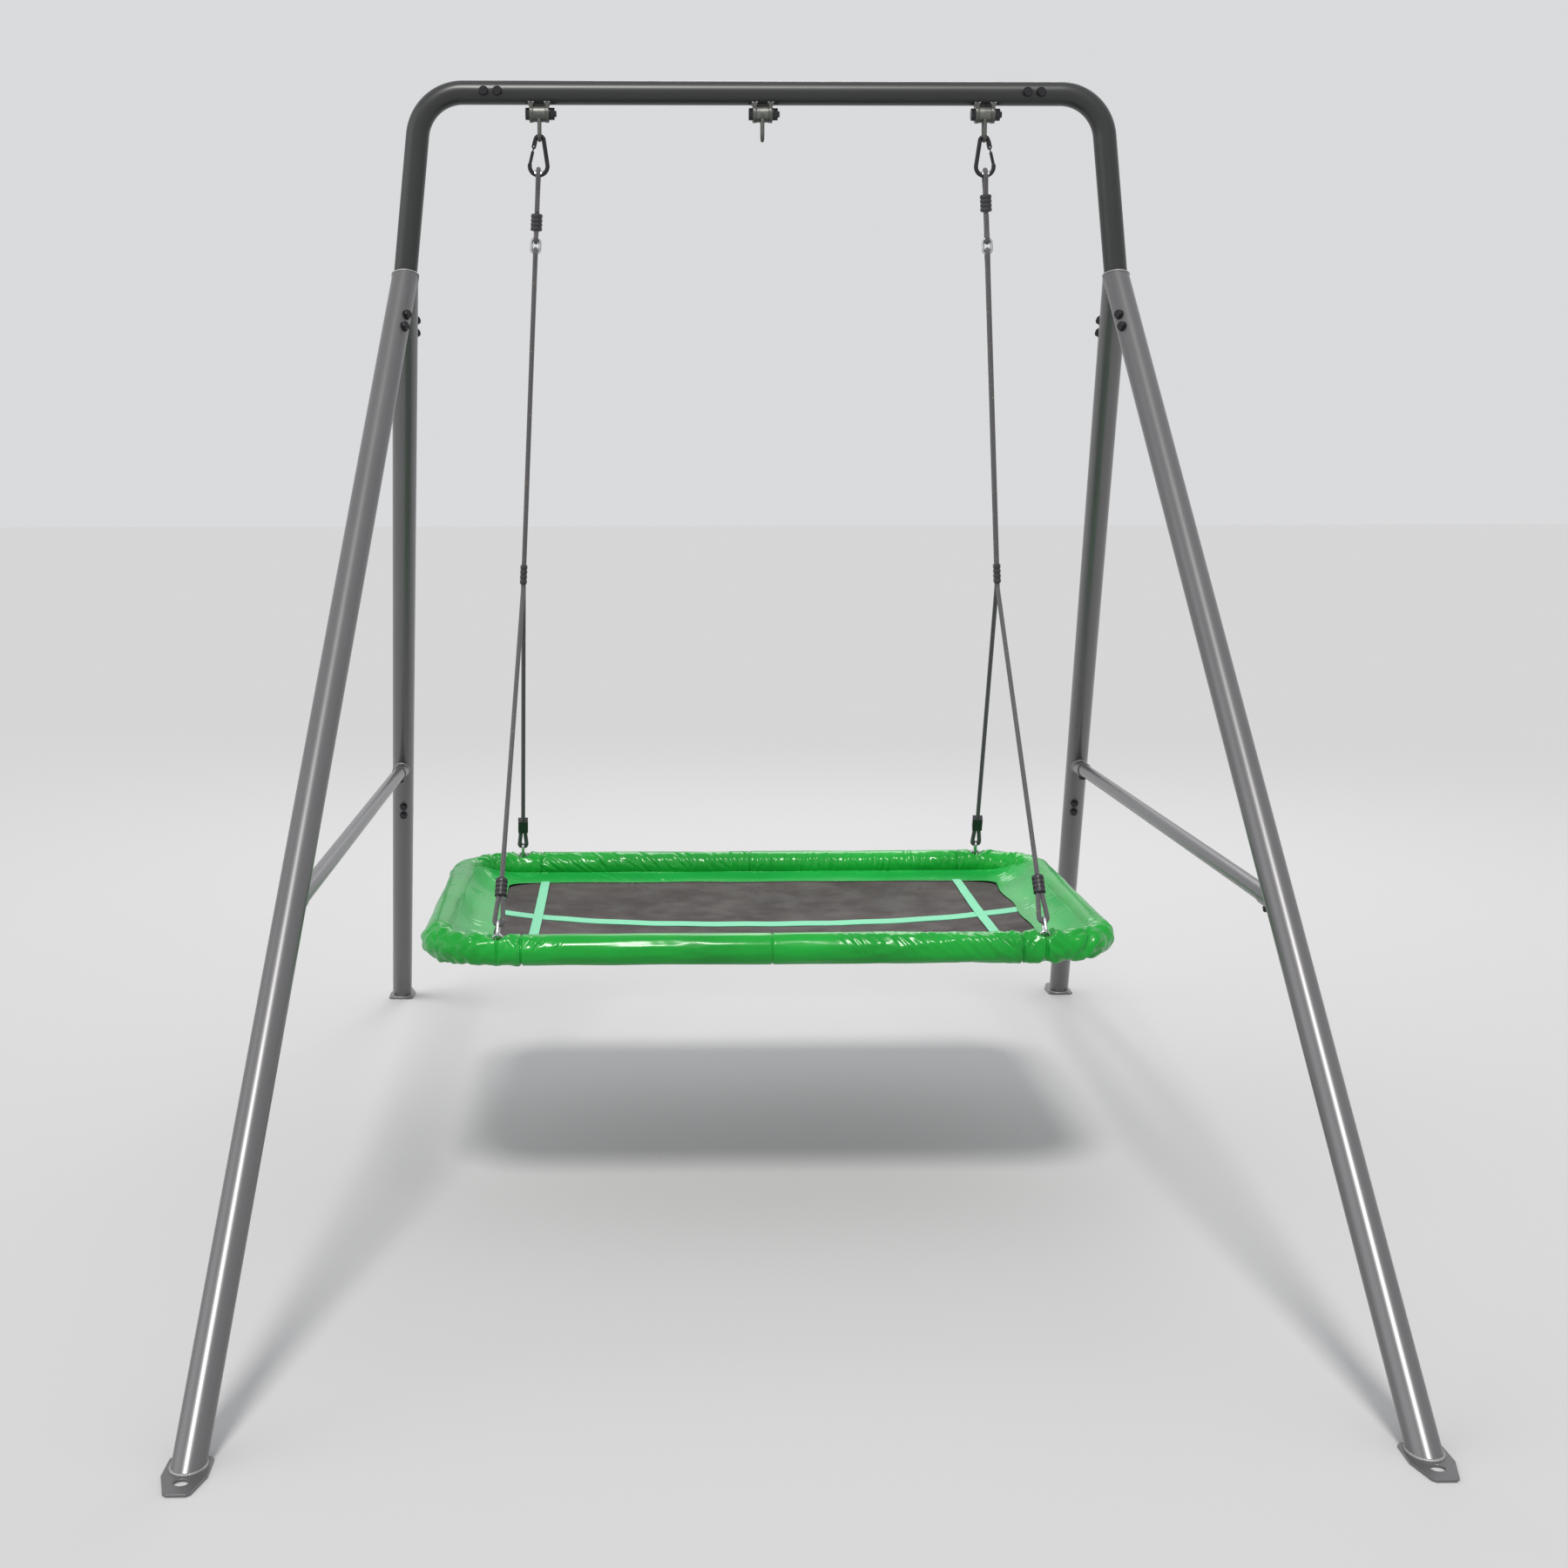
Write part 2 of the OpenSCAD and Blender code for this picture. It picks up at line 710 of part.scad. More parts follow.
// Quarter ring of the seat rim from x = 0 round the front right corner to y = 0.
module rim_quarter(r, a = seat_a, b = seat_b, bend = seat_r) {
    translate([0, -b, 0]) rotate([0, 90, 0]) cylinder(r = r, h = a - bend);
    translate([a - bend, -b + bend, 0]) rotate([0, 0, -90])
        rotate_extrude(angle = 90) translate([bend, 0]) circle(r);
    translate([a, 0, 0]) rotate([90, 0, 0]) cylinder(r = r, h = b - bend);
}

// The whole rim, at the seat frame's height.
module rim(r) {
    translate([0, 0, seat_z]) for (left = [false, true]) for (back = [false, true])
        quarter(left, back) rim_quarter(r);
}

// A welded hanging eye on the frame tube, drawn at its own place.
module hanging_eye() {
    translate(seat_eye - [0, 0, seat_eye_r]) {
        bent_bar(seat_eye_r, seat_eye_wire, 0, 180);
        for (x = [-seat_eye_r, seat_eye_r])
            rod([x, 0, -frame_r * 0.6], [x, 0, 0], seat_eye_wire);
    }
}

// One half of the seat's steel frame, with a hanging eye at each end.
module seat_frame_half() {
    difference() {
        union() for (back = [false, true]) quarter(false, back) {
            translate([0, 0, seat_z]) rim_quarter(frame_r);
            hanging_eye();
        }
        for (back = [false, true]) quarter(false, back)
            translate([0, 0, seat_z]) {
                rim_quarter(frame_r - frame_wall);
                translate([-1, -seat_b, 0]) rotate([0, 90, 0])
                    cylinder(r = frame_r - frame_wall, h = 2);
            }
    }
}

module seat_frame_left() { color("#9a9da0") mirror([1, 0, 0]) seat_frame_half(); }
module seat_frame_right() { color("#9a9da0") seat_frame_half(); }

// Inner sleeves that join the two frame halves at the middle of the long sides.
module seat_frame_sleeves() {
    r = frame_r - frame_wall - spigot_gap;
    color("#8c8f92") for (y = [-seat_b, seat_b]) difference() {
        rod([-50, y, seat_z], [50, y, seat_z], r);
        rod([-51, y, seat_z], [51, y, seat_z], r - frame_wall);
    }
}

// Slots in the rim's top through which the links reach the frame's eyes.
module link_slots() {
    for (left = [false, true]) for (back = [false, true]) quarter(left, back)
        translate([eye_x - slot.x / 2, -seat_b - slot.y / 2, seat_z]) cube([slot.x, slot.y, 60]);
}

module foam_padding() {
    color("#d8d8c8") difference() {
        rim(rim_r - cover_t - foam_gap);
        rim(frame_r + foam_gap);
        link_slots();
    }
}

module cover_sleeve() {
    color("#2fae55") difference() {
        rim(rim_r);
        rim(rim_r - cover_t);
        link_slots();
    }
}

// A flat rounded rectangle, half sizes a and b, corner radius r.
module panel(a, b, r, t) {
    linear_extrude(t) union() {
        square([2 * a, 2 * (b - r)], center = true);
        square([2 * (a - r), 2 * b], center = true);
        for (x = [-1, 1]) for (y = [-1, 1]) translate([x * (a - r), y * (b - r)]) circle(r);
    }
}

// The sewn border between the sleeve and the mat.
module inner_flap() {
    reach = sqrt(rim_r * rim_r - (mat_drop - mat_t) * (mat_drop - mat_t)) + 0.4;
    color("#63c987") translate([0, 0, seat_z - mat_drop]) difference() {
        panel(seat_a - reach, seat_b - reach, seat_r - reach, mat_t);
        translate([0, 0, -1]) panel(mat_a, mat_b, mat_r, mat_t + 2);
    }
}

module mesh_mat() {
    color("#514a4b") translate([0, 0, seat_z - mat_drop - mat_t])
        panel(mat_a + 50, mat_b + 42, mat_r, mat_t);
}

// The two narrow straps across the mat.
module cross_straps() {
    cross_reach = mat_b - 3;
    color("#8ee6ba") for (x = [-strap_x, strap_x])
        translate([x - cross_w / 2, -cross_reach, seat_z - mat_drop + strap_t + 0.1])
            cube([cross_w, 2 * cross_reach, strap_t]);
}

// The wide strap along the middle of the mat, under the two narrow ones.
module long_strap() {
    color("#8ee6ba") translate([-mat_a, -long_w / 2, seat_z - mat_drop])
        cube([2 * mat_a, long_w, strap_t]);
}

// ---- Nodes ------------------------------------------------------------------

top_beam();
beam_sleeves();
corner_left();
corner_right();
quarter(true, false) upper_leg();  // upper_leg_front_left
quarter(false, false) upper_leg();  // upper_leg_front_right
quarter(true, true) upper_leg();  // upper_leg_back_left
quarter(false, true) upper_leg();  // upper_leg_back_right
quarter(true, false) lower_leg();  // lower_leg_front_left
quarter(false, false) lower_leg();  // lower_leg_front_right
quarter(true, true) lower_leg();  // lower_leg_back_left
quarter(false, true) lower_leg();  // lower_leg_back_right
quarter(true, false) foot_plate();  // foot_plate_front_left
quarter(false, false) foot_plate();  // foot_plate_front_right
quarter(true, true) foot_plate();  // foot_plate_back_left
quarter(false, true) foot_plate();  // foot_plate_back_right
brace_left();
brace_right();
frame_bolts();
frame_inserts();
clevis_left();
clevis_centre();
clevis_right();
pivot_bolts();
pivot_nuts();
spare_barrel();
spare_bush();
barrel_left();
barrel_right();
swing_bushes();
hook_left();
hook_right();
gate_left();
gate_right();
gate_pins();
thimbles();
adjuster_rope_left();
adjuster_rope_right();
adjuster_sleeves();
middle_links();
main_rope_left();
main_rope_right();
bridle_sleeves();
lower_rope_front_left();
lower_rope_front_right();
lower_rope_back_left();
lower_rope_back_right();
front_sleeves();
slide_blocks();
seat_links();
seat_frame_left();
seat_frame_right();
seat_frame_sleeves();
foam_padding();
cover_sleeve();
inner_flap();
mesh_mat();
cross_straps();
long_strap();
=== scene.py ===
import json
import math

import bmesh
import bpy
import numpy as np
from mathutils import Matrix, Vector


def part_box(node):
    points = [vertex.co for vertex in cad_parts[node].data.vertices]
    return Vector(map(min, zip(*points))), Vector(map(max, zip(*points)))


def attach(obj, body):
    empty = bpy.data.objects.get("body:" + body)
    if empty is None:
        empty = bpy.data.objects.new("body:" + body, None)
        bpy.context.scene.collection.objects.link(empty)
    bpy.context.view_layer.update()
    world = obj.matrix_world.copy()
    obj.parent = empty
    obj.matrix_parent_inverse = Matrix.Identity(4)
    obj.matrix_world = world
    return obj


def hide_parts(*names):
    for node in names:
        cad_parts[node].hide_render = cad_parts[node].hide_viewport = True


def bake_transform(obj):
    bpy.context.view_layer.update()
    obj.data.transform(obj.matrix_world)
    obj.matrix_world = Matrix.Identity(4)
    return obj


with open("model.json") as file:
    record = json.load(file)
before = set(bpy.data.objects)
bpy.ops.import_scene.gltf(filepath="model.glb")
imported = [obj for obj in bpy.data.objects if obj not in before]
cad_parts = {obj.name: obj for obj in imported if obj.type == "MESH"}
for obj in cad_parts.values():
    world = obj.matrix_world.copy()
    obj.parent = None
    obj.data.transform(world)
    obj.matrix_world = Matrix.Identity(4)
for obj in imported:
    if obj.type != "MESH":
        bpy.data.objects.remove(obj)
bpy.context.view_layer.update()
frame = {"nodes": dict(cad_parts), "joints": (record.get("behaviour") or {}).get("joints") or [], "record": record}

MM = 0.001
SIDES = {"left": -1, "right": 1}
ENDS = {"front": -1, "back": 1}


# ---- Measures, from the frame where it holds them --------------------------

def joint_place(name):
    return Vector(next(j["pos_m"] for j in frame["joints"] if j["name"] == name))


def middle(node):
    lo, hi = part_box(node)
    return (lo + hi) / 2


# Rim of the seat: a padded tube round a rounded rectangle.
RIM_LO, RIM_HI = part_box("cover_sleeve")
RIM_R = (RIM_HI.z - RIM_LO.z) / 2
RIM_Z = (RIM_HI.z + RIM_LO.z) / 2
RIM_A = RIM_HI.x - RIM_R
RIM_B = RIM_HI.y - RIM_R
RIM_BEND = 95 * MM

# Opening of the sewn border, the mat's top, and the straps on it.
OPEN_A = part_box("long_strap")[1].x
OPEN_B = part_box("cross_straps")[1].y + 3 * MM
OPEN_BEND = 60 * MM
MAT_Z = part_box("mesh_mat")[1].z
CROSS_W = 16 * MM
STRAP_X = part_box("cross_straps")[1].x - CROSS_W / 2
LONG_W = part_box("long_strap")[1].y * 2
CROSS_LIFT, LONG_LIFT = 2.7 * MM, 1.35 * MM
STRAP_TUCK = 4 * MM  # how far a strap runs on under the border

# Ropes, and the chain of parts between a hanger's eye and the bridle. Heights called Z along the
# chain count from the hanger's eye, and those at a seat's eye count up the lower rope.
ROPE_R = 4 * MM
STRAND = 4.1 * MM
LINK_BEND = 6.7 * MM
THIMBLE_BEND = 10.3 * MM
EYE_WIRE = 3 * MM
EYE = Vector((middle("barrel_right").x, 0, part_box("barrel_right")[0].z + EYE_WIRE))
BRIDLE = Vector((400 * MM, 0, joint_place("seat_rock").z))
CHAIN_LEN = (EYE - BRIDLE).length
EYE_SIDE = 2.5 * MM  # half the gap between a seat eye's two strands above the link
THIMBLE_Z = -55.8 * MM
ADJUSTER_Z = (-84 * MM, -146 * MM, -156 * MM)
MAIN_Z = (-180 * MM, -206 * MM)
SEAT_EYE = Vector((427 * MM, -RIM_B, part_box("seat_frame_right")[1].z - 2.5 * MM))
ROPE_FOOT = Vector((BRIDLE.x, -4.6 * MM, BRIDLE.z - 7.5 * MM))
EYE_LOOP_Z = 22.9 * MM
MEET_Z = {"front": 72.9 * MM, "back": 68 * MM}

# Stand.
BEAM_R = (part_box("top_beam")[1].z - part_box("top_beam")[0].z) / 2
BEAM_Z = middle("top_beam").z
LEG_R = 21.2 * MM
BRACE_R = 12.5 * MM
FOOT_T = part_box("foot_plate_front_right")[1].z
FOOT_Y = -1181 * MM
FOOT = Vector((middle("foot_plate_front_right").x, FOOT_Y, 0))
EAR_FACES = (-16.4 * MM, -9.6 * MM, 9.6 * MM, 16.4 * MM)

# The beam's bend and the junction of the legs below it. SPLAY is how far the bent tube's end
# leans outwards. BEND_X and BEND_TURN, the bend's centre and radius, are in millimetres.
SPLAY = math.radians(6.3)
BEND_X, BEND_TURN = 488, 75
BEND_END = Vector((BEND_X + BEND_TURN * math.cos(SPLAY), 0,
                   BEAM_Z / MM - BEND_TURN + BEND_TURN * math.sin(SPLAY))) * MM
JUNCTION_Z = 1.51
JUNCTION = Vector((BEND_END.x + (BEND_END.z - JUNCTION_Z) * math.tan(SPLAY), 0, JUNCTION_Z))
STUB_AT = 1.170  # from the junction down the leg to the brace's stub
LEG_DIR = (FOOT - JUNCTION).normalized()
MITRE = (math.pi / 2 + math.asin(LEG_DIR.z)) / 2


# ---- Mesh helpers ----------------------------------------------------------

def link(name, data):
    """A new object in the scene, for a mesh, a camera or a light."""
    piece = bpy.data.objects.new(name, data)
    bpy.context.scene.collection.objects.link(piece)
    return piece


def mesh_piece(name, points, faces, smooth=True):
    mesh = bpy.data.meshes.new(name)
    mesh.from_pydata([tuple(p) for p in points], [], faces)
    mesh.polygons.foreach_set("use_smooth", [smooth] * len(mesh.polygons))
    mesh.update()
    return link(name, mesh)


def grid_faces(rows, cols, wrap_rows, wrap_cols):
    """Quads over a grid of points, numbered row by row."""
    r = np.arange(rows if wrap_rows else rows - 1)
    c = np.arange(cols if wrap_cols else cols - 1)
    r, c = (m.ravel() for m in np.meshgrid(r, c, indexing="ij"))
    r2, c2 = (r + 1) % rows, (c + 1) % cols
    return np.stack([r * cols + c, r * cols + c2, r2 * cols + c2, r2 * cols + c], 1)


def grid_piece(name, points, wrap_rows=False, wrap_cols=False):
    """A smooth mesh over an array of points, rows x columns x 3."""
    rows, cols = points.shape[:2]
    faces = grid_faces(rows, cols, wrap_rows, wrap_cols)
    return mesh_piece(name, points.reshape(-1, 3).tolist(), faces.tolist())


def resample(points, step):
    """Points a step apart along a polyline, and their distances from its start."""
    points = np.array([tuple(p) for p in points], float)
    runs = np.r_[0, np.cumsum(np.linalg.norm(np.diff(points, axis=0), axis=1))]
    s = np.linspace(0, runs[-1], max(int(round(runs[-1] / step)), 2) + 1)
    return np.stack([np.interp(s, runs, points[:, i]) for i in range(3)], 1), s


def soften(points, times):
    """Rounds a fine polyline's corners; its ends stay."""
    for _ in range(times):
        points[1:-1] = points[1:-1] / 2 + (points[:-2] + points[2:]) / 4
    return points


ASKEW = [0.31, 0.52, 0.79]  # no path starts along this direction


def sweep(name, points, s, radius, around, closed=False):
    """A tube along points. radius(s, angle) takes arrays; the section doesn't twist."""
    if closed:
        step = np.roll(points, -1, 0) - np.roll(points, 1, 0)
    else:
        step = np.gradient(points, axis=0)
    tangent = step / np.linalg.norm(step, axis=1)[:, None]
    start = np.cross(tangent[0], ASKEW)
    normal = np.empty_like(points)
    normal[0] = start / np.linalg.norm(start)
    for i in range(1, len(points)):
        n = normal[i - 1] - tangent[i] * np.dot(normal[i - 1], tangent[i])
        normal[i] = n / np.linalg.norm(n)
    other = np.cross(tangent, normal)
    angle = np.arange(around) * 2 * math.pi / around
    r = radius(s[:, None], angle[None, :]) * np.ones((len(s), around))
    spoke = normal[:, None] * np.cos(angle)[None, :, None]
    spoke = spoke + other[:, None] * np.sin(angle)[None, :, None]
    surface = points[:, None] + spoke * r[:, :, None]
    if not closed:
        surface = np.concatenate([points[:1, None].repeat(around, 1), surface,
                                  points[-1:, None].repeat(around, 1)])
    piece = grid_piece(name, surface, wrap_rows=closed, wrap_cols=True)
    if not closed:
        bm = bmesh.new()
        bm.from_mesh(piece.data)
        bmesh.ops.remove_doubles(bm, verts=bm.verts, dist=1e-6)
        bm.to_mesh(piece.data)
        bm.free()
        piece.data.polygons.foreach_set("use_smooth", [True] * len(piece.data.polygons))
    return piece


def arc(centre, x_axis, z_axis, radius, a0, a1, steps=24):
    """Points of an arc in the plane of x_axis and z_axis."""
    turns = np.radians(np.linspace(a0, a1, steps))
    return [centre + x_axis * (radius * math.cos(t)) + z_axis * (radius * math.sin(t))
            for t in turns]


def plane(origin, first, second):
    """A function that makes points of the plane through origin along first and second."""
    return lambda a, b: origin + first * a + second * b


# ---- Materials -------------------------------------------------------------

class Look:
    """A node material: a principled shader and a few short ways of adding to it."""

    def __init__(self, name, color, rough, metal=0.0, **more):
        self.mat = bpy.data.materials.new(name)
        self.mat.use_nodes = True
        self.tree = self.mat.node_tree
        self.shader = self.tree.nodes["Principled BSDF"]
        self.set(**{"Base Color": (*color, 1), "Roughness": rough, "Metallic": metal})
        self.set(**{key.replace("_", " "): value for key, value in more.items()})

    def set(self, **values):
        for key, value in values.items():
            self.shader.inputs[key].default_value = value

    def node(self, kind, **values):
        node = self.tree.nodes.new("ShaderNode" + kind)
        for key, value in values.items():
            if key in node.inputs:
                node.inputs[key].default_value = value
            else:
                setattr(node, key, value)
        return node

    def join(self, a, b):
        self.tree.links.new(a, b)

    def place(self):
        return self.node("TexCoord").outputs["Object"]

    def stretched(self, scale):
        """Object coordinates scaled differently along each axis."""
        mapping = self.node("Mapping")
        mapping.inputs["Scale"].default_value = scale
        self.join(self.place(), mapping.inputs["Vector"])
        return mapping.outputs["Vector"]

    def noise(self, scale, detail=3.0, vector=None, rough=0.5):
        node = self.node("TexNoise", Scale=scale, Detail=detail, Roughness=rough)
        self.join(vector or self.place(), node.inputs["Vector"])
        return node.outputs["Fac"]

    def span(self, value, low, high, a=0.0, b=1.0):
        """The stretch from low to high, spread over a to b."""
        node = self.node("MapRange")
        for key, v in (("From Min", low), ("From Max", high), ("To Min", a), ("To Max", b)):
            node.inputs[key].default_value = v
        self.join(value, node.inputs["Value"])
        return node.outputs["Result"]

    def feed(self, socket, value):
        """Links a socket, or sets it to a number or a colour."""
        if isinstance(value, tuple):
            socket.default_value = (*value, 1)
        elif isinstance(value, (int, float)):
            socket.default_value = value
        else:
            self.join(value, socket)

    def math(self, kind, *values):
        node = self.node("Math", operation=kind)
        for socket, value in zip(node.inputs, values):
            self.feed(socket, value)
        return node.outputs["Value"]

    def mix(self, fac, a, b):
        node = self.node("Mix", data_type="RGBA")
        colors = [socket for socket in node.inputs if socket.type == "RGBA"]
        for socket, value in zip([node.inputs["Factor"], *colors], (fac, a, b)):
            self.feed(socket, value)
        return next(socket for socket in node.outputs if socket.type == "RGBA")

    def paint(self, color):
        self.join(color, self.shader.inputs["Base Color"])

    def roughen(self, value):
        self.join(value, self.shader.inputs["Roughness"])

    def bump(self, height, strength, distance):
        node = self.node("Bump", Strength=strength, Distance=distance)
        self.join(height, node.inputs["Height"])
        last = self.shader.inputs["Normal"]
        if last.is_linked:
            self.join(last.links[0].from_socket, node.inputs["Normal"])
        self.join(node.outputs["Normal"], last)

    def bands(self, vector, axis, scale):
        """Even bands across one axis, for yarns."""
        wave = self.node("TexWave", wave_type="BANDS", bands_direction=axis, Scale=scale)
        self.join(vector, wave.inputs["Vector"])
        return wave.outputs["Fac"]

    def worn_edges(self, color, worn, amount):
        """Lighter colour on sharp convex edges, broken up by noise."""
        edge = self.span(self.node("NewGeometry").outputs["Pointiness"], 0.52, 0.60)
        patchy = self.math("MULTIPLY", edge, self.span(self.noise(90), 0.35, 0.65))
        return self.mix(self.math("MULTIPLY", patchy, amount), color, worn)


def tint(color, k):
    return tuple(min(c * k, 1) for c in color)


def powder_coat(name, color, rough, metal, worn=0.0, cloudy=0.05):
    """Satin powder coat: orange-peel bump, slight cloudiness and, if worn, rubbed edges."""
    look = Look(name, color, rough, metal, Coat_Weight=0.2, Coat_Roughness=0.3)
    cloud = look.span(look.noise(5, 4), 0.3, 0.7)
    base = look.mix(cloud, tint(color, 1 - cloudy), tint(color, 1 + cloudy))
    look.paint(look.worn_edges(base, tint(color, 2.4), worn) if worn else base)
    look.roughen(look.span(look.noise(35, 4), 0.25, 0.75, rough - 0.01, rough + 0.02))
    look.bump(look.noise(900, 2), 0.15, 0.00004)
    return look.mat


def zinc(name, color=(0.62, 0.63, 0.65), rough=0.24):
    """Bright zinc plate with faint mottling and fine scratches."""
    look = Look(name, color, rough, 1.0)
    look.paint(look.mix(look.span(look.noise(120, 4), 0.3, 0.7), tint(color, 0.78), color))
    look.roughen(look.span(look.noise(300, 3), 0.3, 0.7, rough - 0.05, rough + 0.14))
    look.bump(look.noise(600, 3, look.stretched((1, 1, 9))), 0.18, 0.00006)
    return look.mat


def plastic(name, color, rough=0.38):
    """Moulded plastic: fine grain and a little scuffing."""
    look = Look(name, color, rough)
    base = look.mix(look.noise(60), color, tint(color, 1.5))
    look.paint(look.worn_edges(base, tint(color, 3), 0.4))
    look.roughen(look.span(look.noise(140), 0.3, 0.7, rough - 0.08, rough + 0.1))
    look.bump(look.noise(1600, 2), 0.15, 0.00005)
    return look.mat


def coated_cloth(name, color, rough=0.32):
    """Coated polyester: a fine weave and small puckers under a thin glossy coat."""
    look = Look(name, color, rough, Specular_IOR_Level=0.12, Coat_Weight=0.4,
                Coat_Roughness=0.14, Sheen_Weight=0.08)
    look.set(**{"Sheen Roughness": 0.45, "Sheen Tint": (0.15, 1, 0.5, 1)})
    cloud = look.span(look.noise(7, 5), 0.3, 0.7)
    look.paint(look.mix(cloud, tint(color, 0.82), tint(color, 1.14)))
    look.roughen(look.span(look.noise(30, 4), 0.3, 0.7, rough - 0.04, rough + 0.07))
    for axis in "XYZ":
        look.bump(look.bands(look.place(), axis, 310), 0.06, 0.0001)
    look.bump(look.noise(55, 5), 0.16, 0.0006)
    return look.mat


def open_mesh(name, color):
    """Coated mesh: crossed yarns, and the gaps between them painted dark as the shade seen through the openings.
    """
    look = Look(name, color, 0.6, Specular_IOR_Level=0.15)
    yarn = look.math("MAXIMUM", *[look.bands(look.place(), axis, 95) for axis in "XY"])
    gap = look.span(yarn, 0.25, 0.75)
    dusty = look.mix(look.span(look.noise(6, 6), 0.35, 0.68), tint(color, 0.8), tint(color, 1.35))
    # painted shade: the gaps between the yarns are darkened for the shade seen through the openings
    look.paint(look.mix(gap, tint(color, 0.45), dusty))
    look.roughen(look.span(look.noise(22, 5), 0.35, 0.65, 0.5, 0.7))
    look.bump(yarn, 0.55, 0.0005)
    return look.mat


def webbing(name, color):
    """Woven webbing: a fine diagonal weave."""
    look = Look(name, color, 0.62, Sheen_Weight=0.25)
    diagonal = look.node("Mapping")
    diagonal.inputs["Rotation"].default_value = (0, 0, math.radians(45))
    look.join(look.place(), diagonal.inputs["Vector"])
    weave = look.math("MULTIPLY", *[look.bands(diagonal.outputs["Vector"], axis, scale)
                                    for axis, scale in (("X", 170), ("Y", 230))])
    look.paint(look.mix(weave, tint(color, 0.72), tint(color, 1.12)))
    look.bump(weave, 0.5, 0.0004)
    return look.mat


def braid(name, color, fleck):
    """Braided polyester rope: fibres, painted shade in its grooves and a few coloured flecks."""
    look = Look(name, color, 0.72, Sheen_Weight=0.3)
    fibres = look.noise(1400, 3, look.stretched((1, 1, 0.35)))
    spots = look.span(look.noise(420, 1), 0.71, 0.74)
    base = look.mix(fibres, tint(color, 0.55), tint(color, 1.7))
    # painted shade: the braid's hollows, where pointiness is low, are darkened
    painted_groove_shade = look.span(look.node("NewGeometry").outputs["Pointiness"], 0.44, 0.53)
    base = look.mix(painted_groove_shade, tint(color, 0.25), base)
    look.paint(look.mix(spots, base, fleck))
    look.bump(fibres, 0.5, 0.0003)
    return look.mat


def steel_black(name, color=(0.018, 0.018, 0.02), rough=0.34):
    """Black oxide on steel, a little uneven in colour and gloss."""
    look = Look(name, color, rough, 0.6)
    look.paint(look.mix(look.noise(70), color, tint(color, 1.8)))
    look.roughen(look.span(look.noise(160), 0.3, 0.7, rough - 0.08, rough + 0.12))
    look.bump(look.noise(500, 3), 0.2, 0.0001)
    return look.mat


# One for each of the record's material slots.
MATERIALS = {
    "dark_tube": powder_coat("dark_tube", (0.034, 0.035, 0.035), 0.38, 0.5),
    "leg_tube": powder_coat("leg_tube", (0.148, 0.146, 0.150), 0.32, 0.6, 0, 0.03),
    "hanger_steel": powder_coat("hanger_steel", (0.075, 0.078, 0.07), 0.4, 0.4, 0.6),
    "black_steel": steel_black("black_steel"),
    "zinc_steel": zinc("zinc_steel"),
    "black_plastic": plastic("black_plastic", (0.016, 0.016, 0.018)),
    "rope": braid("rope", (0.060, 0.058, 0.064), (0.30, 0.25, 0.09)),
    "foam": Look("foam", (0.62, 0.62, 0.56), 0.9).mat,
    "cover_fabric": coated_cloth("cover_fabric", (0.005, 0.28, 0.026)),
    "flap_fabric": coated_cloth("flap_fabric", (0.012, 0.33, 0.050), 0.36),
    "mesh_fabric": open_mesh("mesh_fabric", (0.066, 0.054, 0.053)),
    "webbing": webbing("webbing", (0.17, 0.75, 0.42)),
}
EXTRAS = {
    "weld": powder_coat("weld", (0.26, 0.26, 0.26), 0.42, 0.5, 0.6),
    "thread": webbing("thread", (0.01, 0.16, 0.05)),
}


def dress(piece, look):
    """Gives a piece its material."""
    piece.data.materials.clear()
    piece.data.materials.append(MATERIALS.get(look) or EXTRAS[look])
    return piece


# Widths of rounded edges, in millimetres, by the start of a node's name. Long tubes have none.
EDGE_ROUND = {"foot_plate": 0.7, "frame_bolts": 0.4, "clevis": 0.9, "pivot_bolts": 0.5,
              "pivot_nuts": 0.5, "slide_blocks": 0.9, "adjuster_sleeves": 0.5,
              "front_sleeves": 0.5, "bridle_sleeves": 0.4}
# Nodes whose flat faces are joined up first: the rounding folds over on their thin triangles.
JOIN_FLATS = ("foot_plate", "adjuster_sleeves", "bridle_sleeves", "clevis", "pivot_nuts")


def round_edges(node, width):
    """Welds a CAD mesh's split edges and rounds them, so that they catch the light."""
    weld = node.modifiers.new("weld", "WELD")
    weld.merge_threshold = 0.002 * MM
    if node.name.startswith(JOIN_FLATS):
        flats = node.modifiers.new("flats", "DECIMATE")
        flats.decimate_type, flats.angle_limit = "DISSOLVE", math.radians(0.3)
    bevel = node.modifiers.new("round", "BEVEL")
    bevel.width, bevel.segments = width * MM, 2
    bevel.limit_method, bevel.angle_limit = "ANGLE", math.radians(42)
    bevel.use_clamp_overlap = True
    bevel.harden_normals = True


def dress_frame():
    """The carried-over CAD nodes take their slot's material, and the small ones rounded edges."""
    slots = {s["node"]: s["material_slot"] for s in frame["record"]["subparts"]}
    for name, node in frame["nodes"].items():
        for i in range(len(node.data.materials)):
            node.data.materials[i] = MATERIALS[slots[name]]
        for start, width in EDGE_ROUND.items():
            if name.startswith(start):
                round_edges(node, width)
                break
    for name in SIDES:
        paint_sockets(frame["nodes"][f"corner_{name}"])


def paint_sockets(node):
    """The leg sockets, below the mitre, have the legs' lighter paint."""
    node.data.materials.append(MATERIALS["leg_tube"])
    for face in node.data.polygons:
        at = face.center
        if at.z - JUNCTION.z < abs(at.y) * math.tan(MITRE) - 0.1 * MM:
            face.material_index = len(node.data.materials) - 1


# ---- Welds -----------------------------------------------------------------

